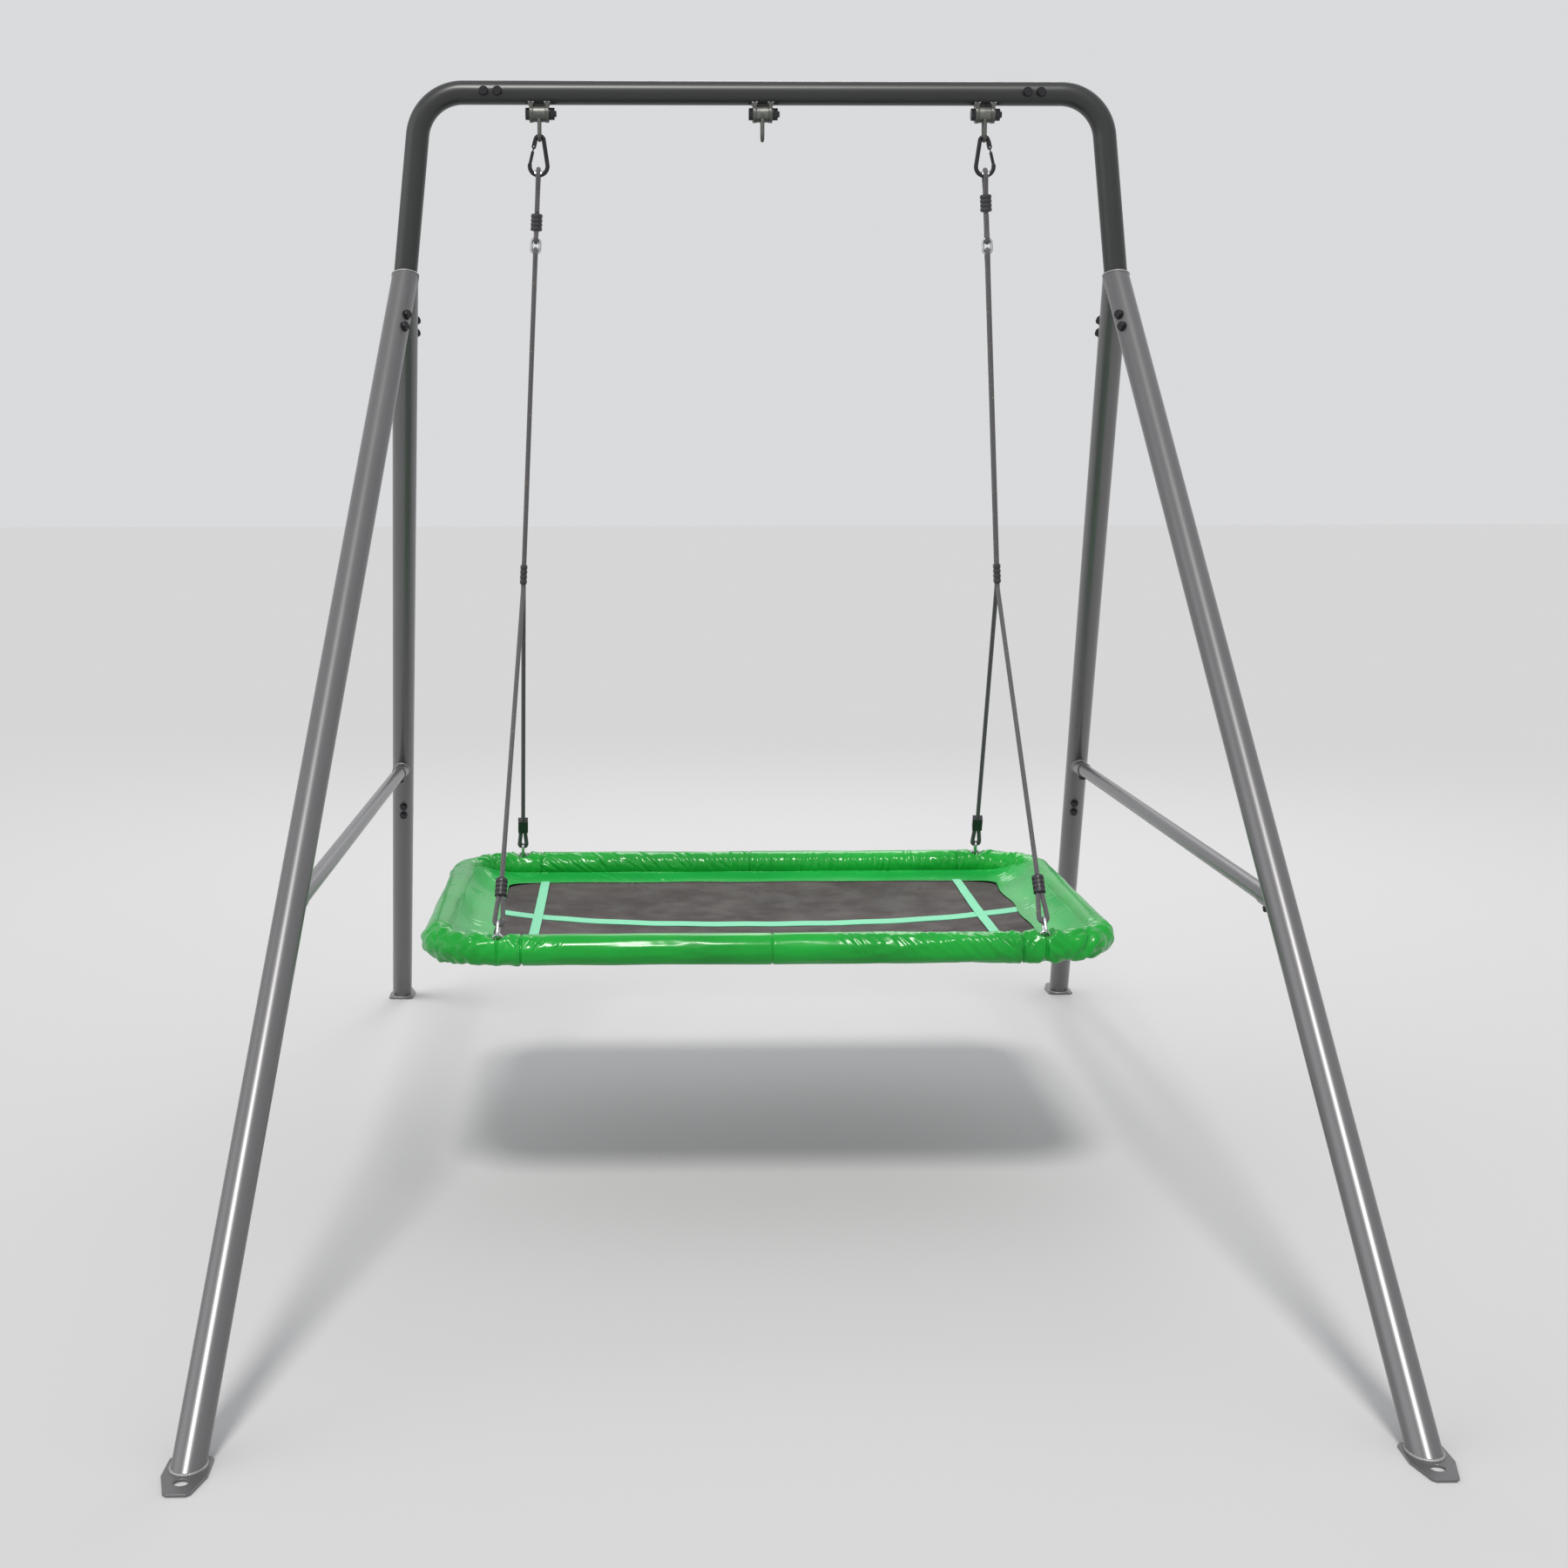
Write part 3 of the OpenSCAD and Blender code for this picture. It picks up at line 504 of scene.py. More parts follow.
def bead(name, path, size, closed=False):
    """A softly rippled weld bead along a path."""
    points, s = resample(path, 0.7 * MM)
    if closed:
        points, s = points[:-1], s[:-1]
    ripples = round(s[-1] / (3.1 * MM))

    def ripple(s, _):
        wave = np.sin(s / s[-1] * ripples * 2 * math.pi)
        return size * (1 + 0.07 * wave + 0.02 * np.sin(s * 910))

    return dress(sweep(name, points, s, ripple, 10, closed), "weld")


def leg_axes():
    """Two directions square to the front right leg."""
    first = LEG_DIR.cross(Vector((0, 0, 1))).normalized()
    return first, LEG_DIR.cross(first)


def leg_cut(normal, level, steps=96):
    """Where the front right leg's surface meets the plane of points p with p . normal = level."""
    first, second = leg_axes()
    path = []
    for k in range(steps + 1):
        turn = 2 * math.pi * k / steps
        at = JUNCTION + (first * math.cos(turn) + second * math.sin(turn)) * LEG_R
        path.append(at + LEG_DIR * ((level - at.dot(normal)) / LEG_DIR.dot(normal)))
    return path


def turned(path, side, end):
    """A path of the front right quadrant, mirrored into another one."""
    return [Vector((p.x * side, -p.y * end, p.z)) for p in path]


def foot_weld():
    """Where the leg stands on its foot plate."""
    return leg_cut(Vector((0, 0, 1)), FOOT_T + 0.6 * MM)


def mitre_weld():
    """Half of the ring where a socket meets the corner tube, from the inner to the outer side."""
    normal = Vector((0, math.sin(MITRE), math.cos(MITRE)))
    path = [p for p in leg_cut(normal, JUNCTION.dot(normal), 360) if p.y <= 0]
    return sorted(path, key=lambda p: p.x)


def crotch_weld():
    """Where the two sockets meet below the junction."""
    normal = Vector((0, 1, 0))
    path = [p for p in leg_cut(normal, 0, 360) if p.z <= JUNCTION.z]
    return sorted(path, key=lambda p: p.x)


def stub_weld():
    """Where the brace's stub meets the front right leg."""
    at = JUNCTION + LEG_DIR * STUB_AT
    size = BRACE_R + 1.8 * MM
    path = []
    for k in range(73):
        turn = 2 * math.pi * k / 72
        p = at + Vector((size * math.cos(turn), 0, size * math.sin(turn))) - JUNCTION
        flat = p - LEG_DIR * p.dot(LEG_DIR)
        way = Vector((0, 1, 0)) - LEG_DIR * LEG_DIR.y
        a, b, c = way.dot(way), 2 * flat.dot(way), flat.dot(flat) - LEG_R ** 2
        path.append(p + JUNCTION + Vector((0, (-b + math.sqrt(b * b - 4 * a * c)) / (2 * a), 0)))
    return path


def make_welds():
    """Beads at the feet, the brace stubs, the socket mitres and the hangers' ears."""
    for side_name, side in SIDES.items():
        for end_name, end in ENDS.items():
            tag = f"{end_name}_{side_name}"
            for name, path, size in (("foot", foot_weld(), 2.2), ("stub", stub_weld(), 1.5)):
                path = turned(path, side, end)
                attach(bead(f"{name}_weld_{tag}", path, size * MM, closed=True), "stand")
            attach(bead(f"mitre_weld_{tag}", turned(mitre_weld(), side, end), 1.5 * MM), "stand")
        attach(bead(f"crotch_weld_{side_name}", turned(crotch_weld(), side, 1), 1.6 * MM), "stand")
    for node in ("clevis_left", "clevis_centre", "clevis_right"):
        x = middle(node).x
        for k, face in enumerate(EAR_FACES):
            path = [Vector((x + face, y * MM, BEAM_Z - math.sqrt(BEAM_R ** 2 - (y * MM) ** 2)))
                    for y in np.linspace(-12, 12, 25)]
            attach(bead(f"{node}_weld_{k}", path, 1.5 * MM), "stand")


# ---- Ropes -----------------------------------------------------------------

def chain_axes(side):
    """Origin and axes of the parts below a hanger: out along X, front to back, up the line."""
    flip = Vector((side, 1, 1))
    up = (EYE - BRIDLE).normalized() * flip
    across = Vector((0, 1, 0))
    return EYE * flip, across.cross(up), across, up


def rope_eye_axes(side, end):
    """Origin, axes (level along the seat, and up the lower rope) and rope length at a seat eye."""
    flip = Vector((side, -end, 1))
    up = (ROPE_FOOT - SEAT_EYE).normalized() * flip
    level = Vector((side, 0, 0))
    level = (level - up * level.dot(up)).normalized()
    return SEAT_EYE * flip, level, up, (ROPE_FOOT - SEAT_EYE).length


def braided(s, angle):
    """Radius of a braided rope: rows of plaited bumps."""
    pitch = 13 * MM
    plait = np.cos(6 * angle) * 0.5 + np.cos(s * 2 * math.pi / (pitch / 2)) * 0.5
    turn = s * 2 * math.pi / pitch
    twist = np.cos(3 * angle + turn) * np.cos(3 * angle - turn)
    return ROPE_R - 0.35 * MM + 0.34 * MM * np.abs(twist) + 0.06 * MM * plait


def rope(name, route):
    """A braided rope along a route, whose corners it rounds."""
    points, s = resample(route, 1.15 * MM)
    points = soften(points, 12)
    return dress(sweep(name, points, s, braided, 24), "rope")


def adjuster_route(side):
    """The short doubled rope: round the thimble, down, and round the middle link."""
    origin, _, across, up = chain_axes(side)
    spot = plane(origin, across, up)
    top, low, ring = ADJUSTER_Z
    route = [spot(-STRAND, (top + low) / 2), spot(-STRAND, top)]
    route += arc(spot(0, THIMBLE_Z), across, up, THIMBLE_BEND, 180, 0)
    route += [spot(STRAND, top), spot(STRAND, low)]
    route += arc(spot(0, ring), across, up, LINK_BEND, 360, 180)
    return route + [spot(-STRAND, low), spot(-STRAND, (top + low) / 2 - 2 * MM)]


def eye_route(side, name):
    """From inside the sleeve, round a seat link and up to the rope's foot at the bridle."""
    end = ENDS[name]
    origin, level, up, length = rope_eye_axes(side, end)
    spot = plane(origin, level, up)
    meet = MEET_Z[name]
    route = [spot(-EYE_SIDE, meet + 4 * MM), spot(-EYE_SIDE, meet)]
    route += arc(spot(0, EYE_LOOP_Z), level, up, LINK_BEND, 180, 360)
    return route + [spot(EYE_SIDE, meet), spot(0, meet + 16 * MM), spot(0, length)]


def long_route(side):
    """One rope: front eye, up through the bridle, round the middle link, down to the back eye."""
    origin, _, across, up = chain_axes(side)
    spot = plane(origin, across, up)
    front, back = eye_route(side, "front"), eye_route(side, "back")
    ring, join_z = MAIN_Z
    main = [spot(-STRAND, -CHAIN_LEN + 2 * MM), spot(-STRAND, join_z)]
    main += arc(spot(0, ring), across, up, LINK_BEND, 180, 0)
    main += [spot(STRAND, join_z), spot(STRAND, -CHAIN_LEN + 2 * MM)]
    return front + main + back[::-1]


def route_length(route):
    return sum((b - a).length for a, b in zip(route, route[1:]))


def make_ropes():
    """Each side's short rope, and its long one, which bends at the bridle."""
    for name, side in SIDES.items():
        short = rope(f"adjuster_braid_{name}", adjuster_route(side))
        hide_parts(f"adjuster_rope_{name}")
        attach(short, "swing")
        long = rope(f"long_braid_{name}", long_route(side))
        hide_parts(f"main_rope_{name}", f"lower_rope_front_{name}",
                    f"lower_rope_back_{name}")
        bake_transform(long)
        lengths = [route_length(route(side)) for route in (long_route, adjuster_route)]
        print(f"rope {name}: {lengths[0]:.3f} m, short {lengths[1]:.3f} m")


# ---- Seat: paths round the rim ---------------------------------------------

def ring(a, b, bend, t):
    """Points of a rounded rectangle and its outward normals, for t from 0 to 8, from the middle of
    the front towards the right: straight sides at even stretches and corners at odd ones, but the
    last stretch holds both the last corner and the other half of the front."""
    t = np.asarray(t, float) % 8
    side, k = np.floor(t).astype(int), t - np.floor(t)
    place, out = np.zeros((len(t), 2)), np.zeros((len(t), 2))
    half_a, half_b = a - bend, b - bend
    runs = {0: ((0, -b), (half_a, -b)), 2: ((a, -half_b), (a, half_b)),
            4: ((half_a, b), (-half_a, b)), 6: ((-a, half_b), (-a, -half_b))}
    for i, (p, q) in runs.items():
        m = side == i
        place[m] = np.outer(1 - k[m], p) + np.outer(k[m], q)
        out[m] = {0: (0, -1), 2: (1, 0), 4: (0, 1), 6: (-1, 0)}[i]
    turns = {1: (half_a, -half_b, -90), 3: (half_a, half_b, 0), 5: (-half_a, half_b, 90)}
    for i, (x, y, first) in turns.items():
        m = side == i
        angle = np.radians(first + 90 * k[m])
        out[m] = np.stack([np.cos(angle), np.sin(angle)], 1)
        place[m] = np.array([x, y]) + bend * out[m]
    m = side == 7
    corner, flat = m & (k < 0.5), m & (k >= 0.5)
    angle = np.radians(180 + 180 * k[corner])
    out[corner] = np.stack([np.cos(angle), np.sin(angle)], 1)
    place[corner] = np.array([-half_a, -half_b]) + bend * out[corner]
    share = (k[flat] - 0.5) * 2
    place[flat] = np.stack([-half_a * (1 - share), np.full(flat.sum(), -b)], 1)
    out[flat] = (0, -1)
    return place, out


def even_turns(step):
    """Values of t that step evenly along the rim's axis, and the distance of each."""
    t = np.linspace(0, 8, 16001)
    place, _ = ring(RIM_A, RIM_B, RIM_BEND, t[:-1])
    place = np.vstack([place, place[:1]])
    runs = np.r_[0, np.cumsum(np.linalg.norm(np.diff(place, axis=0), axis=1))]
    count = int(round(runs[-1] / step))
    s = np.arange(count) * runs[-1] / count
    return np.interp(s, runs, t), s, runs[-1]


# Places round the rim, as distances s along its axis from the middle of the front.
RIM_T, RIM_S, RIM_LEN = even_turns(4 * MM)
HALF_FRONT = RIM_A - RIM_BEND
CORNER_LEN = math.pi / 2 * RIM_BEND
END_LEN = 2 * (RIM_B - RIM_BEND)
CORNER_S = [HALF_FRONT + CORNER_LEN / 2, HALF_FRONT + CORNER_LEN * 1.5 + END_LEN]
CORNER_S += [RIM_LEN - s for s in CORNER_S[::-1]]
BACK_S = RIM_LEN / 2
LINK_S = [SEAT_EYE.x, BACK_S - SEAT_EYE.x, BACK_S + SEAT_EYE.x, RIM_LEN - SEAT_EYE.x]
CUFF_X = 390 * MM
CUFF_S = [CUFF_X, BACK_S - CUFF_X, BACK_S + CUFF_X, RIM_LEN - CUFF_X]


def ring_gap(a, b, length):
    """Signed shortest way from b to a round a closed path."""
    return (a - b + length / 2) % length - length / 2


def bell(x, width):
    return np.exp(-(x / width) ** 2)


# ---- Seat: creases ---------------------------------------------------------

def slack(s, phi):
    """How loose the cover is, 0 to 1: most at the corners, then beside the links, inside the back
    and on the front's right half."""
    corner = sum(bell(ring_gap(s, at, RIM_LEN), 78 * MM) for at in CORNER_S)
    beside = sum(bell(ring_gap(s, at, RIM_LEN), 42 * MM) for at in LINK_S)
    right = np.clip((s - 90 * MM) / (330 * MM), 0, 1) * (s < 470 * MM)
    back = bell(ring_gap(s, BACK_S, RIM_LEN), 430 * MM) * bell(ring_gap(phi, 165, 360), 55)
    return np.clip(0.05 + corner + 0.45 * beside + 0.3 * right + 0.4 * back, 0, 1)


def ripple_field(rng, s, phi, count, wave):
    """Unevenness with waves about this long, which closes on itself round the rim."""
    total = np.zeros(np.broadcast(s, phi).shape)
    turns_phi = max(round(2 * math.pi * RIM_R / wave), 1)
    for _ in range(count):
        along = rng.uniform(0.6, 1.5) * RIM_LEN / wave * rng.choice([-1, 1])
        phase = 2 * math.pi * round(along) * s / RIM_LEN
        phase = phase + rng.integers(0, turns_phi + 1) * np.radians(phi)
        total = total + rng.normal() * np.sin(phase + rng.uniform(0, 6.3))  # 6.3: any phase
    return total / math.sqrt(count / 2)


def crumple(rng, s, phi):
    """Puffed lobes with sharp folds between them, from -0.5 or so up to 1.5."""
    wide, fine = (np.abs(ripple_field(rng, s, phi, 9, wave)) for wave in (88 * MM, 40 * MM))
    return wide + 0.45 * fine - 0.9


def crease_list(rng):
    """Folds of the cover: distance along the rim, angle round it, direction, reach, width and
    depth. Angles are in degrees, 0 outwards and 90 up."""
    folds = []

    def add(count, s, spread, phi, phi_spread, turn, turn_spread, reach, width, depth):
        """count folds about s, in metres. spread, reach, width and depth are in millimetres."""
        for _ in range(count):
            folds.append((rng.normal(s, spread * MM), rng.normal(phi, phi_spread),
                          rng.normal(turn, turn_spread), reach * MM * rng.uniform(0.7, 1.3),
                          width * MM * rng.uniform(0.75, 1.35),
                          depth * MM * rng.uniform(0.6, 1.3)))

    for s in CORNER_S:
        add(7, s, 45, 110, 40, 90, 26, 30, 4.5, 2.4)
        add(6, s, 55, 0, 40, 70, 45, 30, 6, 2.6)
        add(4, s, 50, 300, 30, 90, 40, 30, 7, 2.6)
    for s in LINK_S:
        for way in (-1, 1):
            add(3, s + way * 24 * MM, 8, 60, 22, 90 + way * 32, 10, 24, 3.6, 1.5)
            add(2, s + way * 48 * MM, 12, 95, 30, 90 + way * 46, 12, 24, 3.2, 1.1)
    # the front's right half: even slanting pleats that deepen towards the link
    for k in range(19):
        at = (112 + 15.5 * k) * MM
        deep = 0.7 + 1.9 * k / 18
        add(1, at, 2, 36, 6, 128, 4, 44, 3.6, deep)
        add(1, at + 7 * MM, 3, 80, 8, 118, 8, 16, 2.2, deep * 0.5)
    add(1, LINK_S[0] + 16 * MM, 0, 8, 0, 116, 0, 42, 5.5, 4.2)
    add(1, LINK_S[0] - 64 * MM, 0, 25, 0, 126, 0, 46, 6, 3.8)
    add(1, LINK_S[0] + 58 * MM, 0, 20, 0, 64, 0, 36, 6, 4.0)
    # the front's left half: smooth, with a small fan of creases beside the cuff
    add(8, CUFF_S[3] + 30 * MM, 16, 52, 14, 56, 8, 14, 2.4, 1.0)
    # inside the back: long slanting pleats on the left, short steep ones elsewhere
    for k in range(44):
        at = BACK_S - 400 * MM + k * 18.5 * MM
        left = max(0, math.tanh((at - BACK_S) / (160 * MM)))
        add(1, at, 5, 152, 12, 92 + 45 * left, 8, 24 + 12 * left, 3.2, 1.7)
        add(1, at, 9, 172, 14, 96 + 40 * left, 14, 16, 2.4, 1.0)
    for way in (RIM_LEN / 4, RIM_LEN * 3 / 4):
        add(4, way, 120, 100, 50, 90, 25, 22, 5, 0.5)
    return folds


def crease_height(s, phi, folds, radius=None):
    """Height that the folds add at distances s and angles phi. radius turns angles to lengths."""
    height = np.zeros(np.broadcast(s, phi).shape)
    for s0, phi0, turn, reach, width, depth in folds:
        ds = ring_gap(s, s0, RIM_LEN)
        dv = np.radians(ring_gap(phi, phi0, 360)) * (radius or RIM_R)
        height += fold_shape(ds, dv, turn, reach, width, depth, 0.004 * math.sin(s0 * 300))
    return height


def fold_shape(x, y, turn, reach, width, depth, bow=0.0):
    """One fold through the origin: a valley with a higher ridge on one side."""
    c, q = math.cos(math.radians(turn)), math.sin(math.radians(turn))
    along, across = x * c + y * q, y * c - x * q
    across = across + bow * (along / reach) ** 2
    window = np.clip(1 - (along / reach) ** 2, 0, 1) ** 2
    ridge = 0.8 * bell(across - 1.5 * width, 1.1 * width)
    ridge = ridge + 0.25 * bell(across + 1.6 * width, width)
    return depth * window * (ridge - bell(across, 0.75 * width))


# ---- Seat: cover, border, mat and straps -----------------------------------

def cover_points(t, s, phi, radius):
    """Surface points at a grid of distances and angles (0 outwards, 90 up, 180 inwards)."""
    place, out = ring(RIM_A, RIM_B, RIM_BEND, t)
    points = np.empty((len(s), len(phi), 3))
    reach = radius * np.cos(np.radians(phi))[None]
    points[:, :, :2] = place[:, None] + out[:, None] * reach[:, :, None]
    points[:, :, 2] = RIM_Z + radius * np.sin(np.radians(phi))[None]
    return points


def puff(points, loose, frames=16, pressure=3.2, cap=4 * MM):
    """Cloth with a little pressure rounds the cloth between its folds; no point moves beyond cap.
    loose, 0 to 1 at each point, says how much longer the cloth is than its path."""
    piece = grid_piece("puff", points, wrap_rows=True, wrap_cols=True)
    group = piece.vertex_groups.new(name="loose")
    for i, weight in enumerate(loose.ravel()):
        group.add([i], float(weight), "REPLACE")
    modifier = piece.modifiers.new("cloth", "CLOTH")
    settings = modifier.settings
    settings.quality = 4
    settings.mass = 0.25
    settings.tension_stiffness = settings.compression_stiffness = 20
    settings.shear_stiffness, settings.bending_stiffness = 8, 0.9
    settings.use_pressure, settings.uniform_pressure_force = True, pressure
    settings.vertex_group_shrink = "loose"
    settings.shrink_min, settings.shrink_max = -0.002, -0.05
    settings.effector_weights.gravity = 0
    modifier.collision_settings.use_collision = False
    modifier.point_cache.frame_end = frames
    scene = bpy.context.scene
    for f in range(1, frames + 1):
        scene.frame_set(f)
    moved = piece.evaluated_get(bpy.context.evaluated_depsgraph_get()).data
    after = np.empty(len(moved.vertices) * 3)
    moved.vertices.foreach_get("co", after)
    shift = after.reshape(points.shape) - points
    size = np.linalg.norm(shift, axis=2, keepdims=True)
    bpy.data.objects.remove(piece)
    scene.frame_set(1)
    return points + shift * np.minimum(1, cap / np.maximum(size, 1e-9))


SEAM_ROWS = (-2.4, -1.6, -0.8, 0, 0.8, 1.6, 2.4)  # millimetres from a seam


def finer_near(s, seams):
    """The distances s with a few more on each side of every seam."""
    extra = [at + gap * MM for at in seams for gap in SEAM_ROWS]
    return np.unique(np.r_[s, np.array(extra) % RIM_LEN])


def rows_at(points, s):
    """Rows of a closed surface at other distances, between the rows at RIM_S."""
    closed = np.concatenate([points, points[:1]])
    at = np.r_[RIM_S, RIM_LEN]
    k = np.clip(np.searchsorted(at, s, side="right") - 1, 0, len(RIM_S) - 1)
    share = ((s - at[k]) / (at[k + 1] - at[k]))[:, None, None]
    return closed[k] * (1 - share) + closed[k + 1] * share


def seam_dip(size, s, phi):
    """Draws the cover in at its seams, and at each link's slit and the fold below it."""
    for at in CUFF_S:
        gap = ring_gap(s, at, RIM_LEN)
        way = -1 if at in (CUFF_S[0], CUFF_S[2]) else 1
        size = size - 3.0 * MM * bell(gap, 1.5 * MM) + 0.8 * MM * bell(gap + way * 9 * MM, 8 * MM)
    for at in (0, BACK_S):
        size = size - 2.0 * MM * bell(ring_gap(s, at, RIM_LEN), 1.5 * MM)
    for at in LINK_S:
        gap = ring_gap(s, at, RIM_LEN)
        size = size - 3.4 * MM * bell(gap, 2.2 * MM) * bell(ring_gap(phi, 15, 360), 62)
        rise = np.radians(ring_gap(phi, 90, 360)) * RIM_R
        hole = np.clip(1.25 - np.hypot(gap / (13 * MM), rise / (14 * MM)), 0, 1) ** 0.6
        size = size * (1 - hole) + np.minimum(size, 14.2 * MM) * hole
        size = size + 1.3 * MM * bell(np.hypot(gap / (19 * MM), rise / (20 * MM)) - 1, 0.22)
    return size


def make_cover():
    """The padded cover: slack cloth round the foam, blown out a little by the simulation, and then
    its fine folds and seams, with a row of stitches beside each cuff."""
    rng = np.random.default_rng(7)
    phi = np.arange(72)[None] * 5.0
    s = RIM_S[:, None]
    loose = slack(s, phi)
    radius = RIM_R - 1.9 * MM + 0.22 * MM * ripple_field(rng, s, phi, 14, 190 * MM)
    radius = radius + loose ** 1.5 * 3.2 * MM * crumple(rng, s, phi)
    points = cover_points(RIM_T, RIM_S, phi[0], radius)
    points = puff(points, loose)
    s = finer_near(np.arange(0, RIM_LEN - MM, 2 * MM), CUFF_S + LINK_S + [0, BACK_S])
    points = rows_at(points, s)
    t = np.interp(s, np.r_[RIM_S, RIM_LEN], np.r_[RIM_T, 8])
    place, _ = ring(RIM_A, RIM_B, RIM_BEND, t)
    centre = np.concatenate([place, np.full((len(place), 1), RIM_Z)], 1)[:, None]
    spoke = points - centre
    size = np.linalg.norm(spoke, axis=2)
    unit = spoke / size[:, :, None]
    size = size + crease_height(s[:, None], phi, crease_list(rng))
    size = seam_dip(np.clip(size, RIM_R - 8 * MM, RIM_R + 3 * MM), s[:, None], phi)
    points = centre + unit * size[:, :, None]
    piece = grid_piece("seat_cover", points, wrap_rows=True, wrap_cols=True)
    dress(piece, "cover_fabric")
    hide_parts("cover_sleeve", "foam_padding")
    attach(piece, "seat")
    for k, at in enumerate(CUFF_S):
        row = points[np.argmin(np.abs(ring_gap(s, at - 4 * MM, RIM_LEN)))]
        thread = stitches(f"cuff_thread_{k}", np.vstack([row, row[:1]]), 4 * MM, 0.5 * MM)
        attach(thread, "seat")
    return piece


def end_share(t):
    """1 along the seat's ends, 0 along its long sides, smooth round the corners."""
    _, out = ring(RIM_A, RIM_B, RIM_BEND, t)
    return out[:, 0] ** 2


def edge_height(t):
    """Height of the border's sewn edge, which lies on the mat."""
    return MAT_Z + 1.6 * MM + 5 * MM * end_share(t)


BORDER_STEPS = 26
STITCH_STEP = 22  # the step of the border that its stitches lie on


def make_border(cover):
    """The sewn border, from the rim's inner side down to the mat. Returns its surface points."""
    rng = np.random.default_rng(11)
    v = np.linspace(0, 1, BORDER_STEPS)[None, :]
    s = RIM_S[:, None]
    inner, out = ring(OPEN_A, OPEN_B, OPEN_BEND, RIM_T)
    place, _ = ring(RIM_A, RIM_B, RIM_BEND, RIM_T)
    end = end_share(RIM_T)
    r = RIM_R - 3.4 * MM
    start = np.radians(205 - 62 * end)
    reach = r + 4 * MM + 17 * MM * end

    def along(inward, height):
        return np.concatenate([place - out * inward[:, None], height[:, None]], 1)[:, None]

    top = along(-r * np.cos(start), RIM_Z + r * np.sin(start))
    bend = along(reach, MAT_Z + 4 * MM + 2 * MM * end)
    foot = np.concatenate([inner, edge_height(RIM_T)[:, None]], 1)[:, None]
    w = v[:, :, None]
    points = top * (1 - w) ** 2 + 2 * bend * w * (1 - w) + foot * w ** 2
    folds = [(rng.uniform(0, RIM_LEN), rng.uniform(0, 80), rng.normal(90, 30),
              rng.uniform(14, 34) * MM, rng.uniform(3, 7) * MM, rng.uniform(0.5, 1.9) * MM)
             for _ in range(84)]
    folds += [(rng.normal(at, 60 * MM), rng.uniform(20, 70), rng.normal(90, 25),
               30 * MM, 4 * MM, 1.3 * MM) for at in CORNER_S for _ in range(7)]
    lift = crease_height(s, v * 90, folds, 50 * MM)
    lift = lift + 0.4 * MM * ripple_field(rng, s, v * 90, 14, 160 * MM)
    points[:, :, 2] += lift * np.minimum(1, v * 5) * (1 - 0.75 * v ** 4)
    hem = np.linalg.norm(place - inner, axis=1)[:, None] * (1 - v)
    points[:, :, 2] -= 0.7 * MM * bell(hem - 9 * MM, 1.8 * MM)
    scallop = 1.1 * MM * ripple_field(rng, s, np.zeros((1, 1)), 8, 210 * MM) * v ** 3
    points[:, :, :2] -= out[:, None] * scallop[:, :, None]
    piece = grid_piece("seat_border", points, wrap_rows=True)
    sheet_shell(piece, 1.1 * MM)
    detail = piece.modifiers.new("detail", "SUBSURF")
    detail.levels = detail.render_levels = 1
    dress(piece, "flap_fabric")
    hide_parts("inner_flap")
    piece.parent = cover
    return points


def mat_height(x, y):
    """Height of the mat's top: it hangs a little in the middle and rises to the ends."""
    u, w = np.clip(np.abs(x) / OPEN_A, 0, 1), np.clip(np.abs(y) / OPEN_B, 0, 1)
    sag = 19 * MM * (1 - u ** 2.4) * (1 - w ** 2)
    return MAT_Z - 0.2 * MM - sag + 4.5 * MM * u ** 5 * (1 - w ** 4)


def mat_folds(rng):
    """Short pulls in the mat: place, direction, reach, width and depth. Most are beside its sewn
    edges, and two out of three of the long edges' ones are at the back."""
    folds = []
    for _ in range(30):
        x = rng.uniform(-0.9, 0.9) * OPEN_A
        y = rng.choice([1, 1, -1]) * rng.uniform(0.72, 0.97) * OPEN_B
        folds.append((x, y, rng.normal(90, 32), rng.uniform(14, 40) * MM,
                      rng.uniform(2.5, 6) * MM, rng.uniform(0.9, 2.4) * MM))
    for _ in range(16):
        x = rng.choice([-1, 1]) * rng.uniform(0.8, 0.97) * OPEN_A
        y = rng.uniform(-0.9, 0.9) * OPEN_B
        folds.append((x, y, rng.normal(0, 30), rng.uniform(14, 40) * MM,
                      rng.uniform(3, 6) * MM, rng.uniform(0.4, 1.1) * MM))
    for _ in range(12):
        x, y = rng.uniform(-0.9, 0.9) * OPEN_A, rng.uniform(-0.6, 0.6) * OPEN_B
        folds.append((x, y, rng.uniform(0, 180), rng.uniform(30, 90) * MM,
                      rng.uniform(5, 12) * MM, rng.uniform(0.3, 0.9) * MM))
    return folds


def fold_height(x, y, folds):
    return sum(fold_shape(x - x0, y - y0, *fold) for x0, y0, *fold in folds)


MAT_FOLDS = mat_folds(np.random.default_rng(5))


def mat_top(x, y):
    return mat_height(x, y) + fold_height(x, y, MAT_FOLDS)


def sheet_shell(piece, thickness):
    shell = piece.modifiers.new("thickness", "SOLIDIFY")
    shell.thickness, shell.offset = thickness, -1


def round_corners(x, y, half, bend):
    """Pulls a rectangular grid's corners in, so that its outline turns by bend there."""
    over_x, over_y = np.abs(x) - (half.x - bend), np.abs(y) - (half.y - bend)
    in_corner = (over_x > 0) & (over_y > 0)
    k = np.maximum(over_x, over_y) / np.maximum(np.hypot(over_x, over_y), 1e-9)
    pull = in_corner & (k < 1)
    return (np.where(pull, np.sign(x) * (half.x - bend + over_x * k), x),
            np.where(pull, np.sign(y) * (half.y - bend + over_y * k), y))


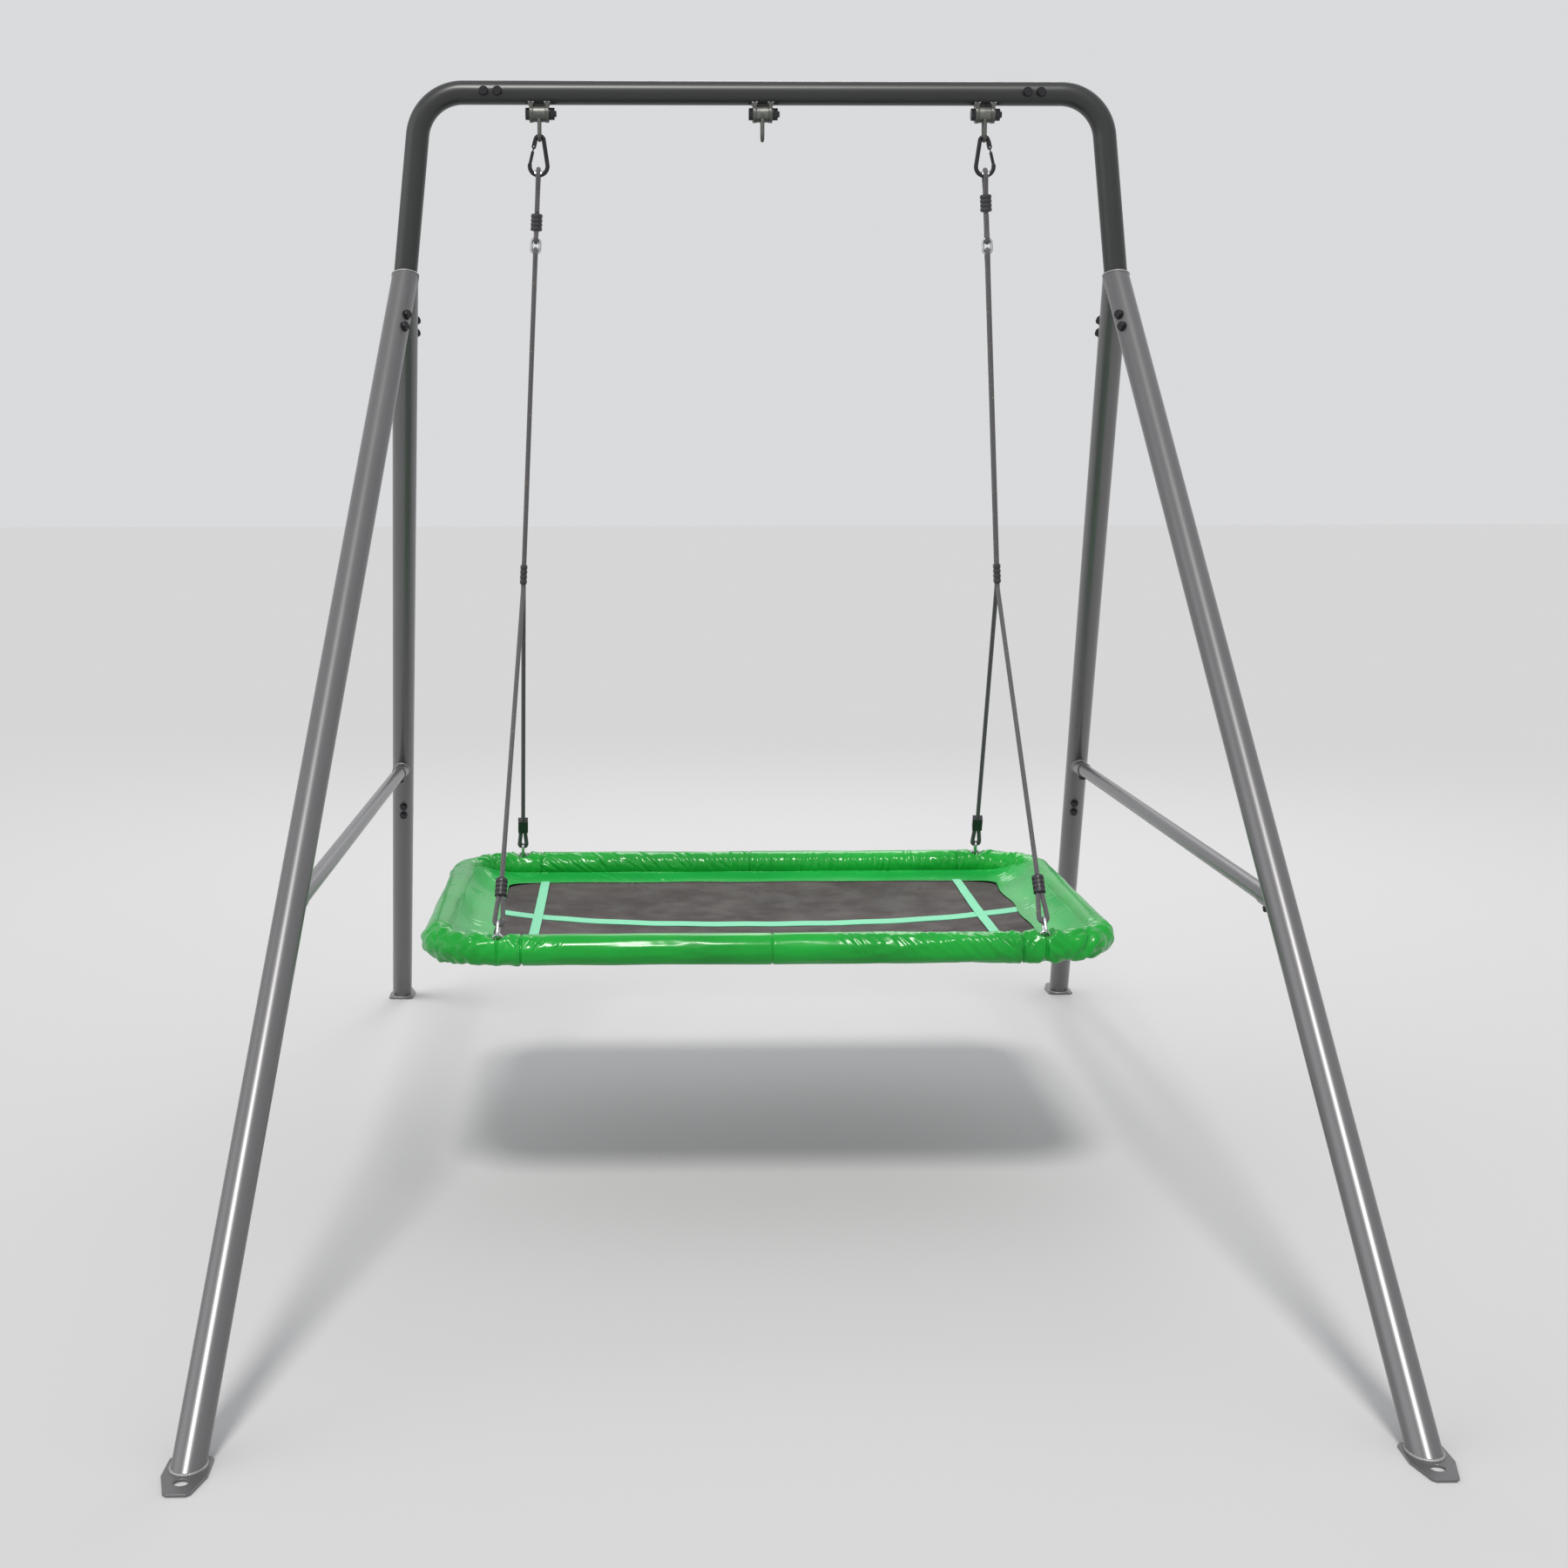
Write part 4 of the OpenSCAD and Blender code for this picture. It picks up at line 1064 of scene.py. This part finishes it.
def make_mat():
    rows, cols = 241, 161
    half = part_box("mesh_mat")[1].xy
    x = np.linspace(-1, 1, rows)[:, None] * half.x * np.ones((1, cols))
    y = np.linspace(-1, 1, cols)[None, :] * half.y * np.ones((rows, 1))
    x, y = round_corners(x, y, half, OPEN_BEND)
    piece = grid_piece("mesh_mat_sheet", np.stack([x, y, mat_top(x, y)], 2))
    sheet_shell(piece, 1.2 * MM)
    dress(piece, "mesh_fabric")
    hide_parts("mesh_mat")
    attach(piece, "seat")
    return piece


def strap(name, start, end, width, lift):
    """A flat strap over the mat between two points of the plan, slightly proud of it."""
    start, end = np.array(start), np.array(end)
    run = np.linalg.norm(end - start)
    way = (end - start) / run
    side = np.array([-way[1], way[0]])
    s = np.linspace(0, run, int(run / (4 * MM)) + 1)
    w = np.linspace(-0.5, 0.5, 11) * width
    plan = start + s[:, None, None] * way + w[None, :, None] * side
    x, y = plan[..., 0], plan[..., 1]
    z = mat_height(x, y) + 0.35 * fold_height(x, y, MAT_FOLDS) + lift
    z = z + 0.25 * MM * np.sin(s * 61 + width * 900)[:, None]
    z = z + 0.25 * MM * np.cos(w / width * math.pi)[None]
    piece = grid_piece(name, np.stack([x, y, z], 2))
    sheet_shell(piece, 1.1 * MM)
    detail = piece.modifiers.new("soft_edge", "BEVEL")
    detail.width, detail.segments = 0.3 * MM, 2
    return dress(piece, "webbing")


def stitches(name, points, pitch, size):
    """A row of short threads lying along a line of points, each a tapered six-sided rod."""
    line, _ = resample(points, pitch)
    verts, faces = [], []
    for a, b in zip(line[:-1], line[1:]):
        way = Vector(b - a)
        length = way.length
        way.normalize()
        side = way.cross(Vector((0, 0, 1))).normalized()
        up = side.cross(way)
        mid = Vector((a + b) / 2)
        first = len(verts)
        for along, k in ((-0.36, 0.25), (-0.2, 1), (0.2, 1), (0.36, 0.25)):
            for j in range(6):
                turn = j * math.pi / 3
                verts.append(mid + way * (length * along) + side * (size * k * math.cos(turn))
                             + up * (size * 0.7 * k * math.sin(turn)))
        for i in range(3):
            for j in range(6):
                p, q = first + i * 6 + j, first + i * 6 + (j + 1) % 6
                faces.append((p, q, q + 6, p + 6))
        faces.append(tuple(range(first + 5, first - 1, -1)))
        faces.append(tuple(range(first + 18, first + 24)))
    return dress(mesh_piece(name, verts, faces), "thread")


def make_mat_pieces():
    """The mat and, sewn onto it, the wide long strap and the two narrow straps over that."""
    mat = make_mat()
    ends = OPEN_B + STRAP_TUCK
    straps = [strap(f"cross_strap_{name}", (STRAP_X * side, -ends), (STRAP_X * side, ends),
                    CROSS_W, CROSS_LIFT) for name, side in SIDES.items()]
    straps.append(strap("long_strap_sheet", (-OPEN_A - STRAP_TUCK, 0), (OPEN_A + STRAP_TUCK, 0),
                        LONG_W, LONG_LIFT))
    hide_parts("cross_straps")
    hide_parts("long_strap")
    for piece in straps:
        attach(piece, "seat")


def make_seat():
    cover = make_cover()
    row = make_border(cover)[:, STITCH_STEP]
    make_mat_pieces()
    line = np.vstack([row, row[:1]]) + np.array([0, 0, 0.2 * MM])
    thread = stitches("border_stitches", line, 4.5 * MM, 0.55 * MM)
    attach(thread, "seat")


# ---- Camera, floor and light -----------------------------------------------

def make_camera():
    """The photograph's viewing angle and framing."""
    cam = bpy.data.cameras.new("camera")
    cam.sensor_width = 36
    cam.lens = 49.6
    cam.shift_x, cam.shift_y = 0.06, 0.0067
    piece = link("camera", cam)
    piece.location = (-0.199, -3.653, 1.200)
    pitch, roll, turn = (math.radians(angle) for angle in (90 - 8.66, 0.09, -1.25))
    piece.rotation_euler = (pitch, roll, turn)
    bpy.context.scene.camera = piece


def area_light(name, place, aim, size, power, color=(1, 1, 1)):
    light = bpy.data.lights.new(name, "AREA")
    light.shape, light.size, light.energy, light.color = "DISK", size, power, color
    piece = link(name, light)
    piece.location = place
    piece.rotation_euler = (Vector(aim) - Vector(place)).to_track_quat("-Z", "Y").to_euler()


def sun_light(name, aim, power, softness, color):
    light = bpy.data.lights.new(name, "SUN")
    light.energy, light.angle, light.color = power, math.radians(softness), color
    piece = link(name, light)
    piece.rotation_euler = Vector(aim).to_track_quat("-Z", "Y").to_euler()


def make_studio():
    """A pale floor about as bright as the world, under a soft sun, a side fill and a rim light."""
    half = 40
    corners = [[(x, y, 0) for y in (-half, half)] for x in (-half, half)]
    floor = grid_piece("floor", np.array(corners, float))
    look = Look("floor_paper", (0.6, 0.6, 0.6), 0.9, Specular_IOR_Level=0.0)
    look.paint(look.mix(look.noise(0.8, 2), (0.508, 0.508, 0.513), (0.515, 0.515, 0.519)))
    floor.data.materials.append(look.mat)
    world = bpy.data.worlds.new("studio")
    bpy.context.scene.world = world
    world.use_nodes = True
    sky = world.node_tree.nodes["Background"].inputs
    sky["Color"].default_value = (0.97, 0.98, 1, 1)
    sky["Strength"].default_value = 0.72
    sun_light("key", (0.07, 0.60, -0.75), 2.3, 12, (1, 0.98, 0.95))
    sun_light("side", (0.93, 0.30, -0.20), 0.7, 60, (1, 1, 1))
    area_light("rim", (0.5, 3.6, 3.4), (0, 0, 1.0), 2.0, 40)
    bpy.context.scene.view_settings.view_transform = "Standard"


make_camera()
make_studio()
dress_frame()
make_welds()
make_ropes()
make_seat()
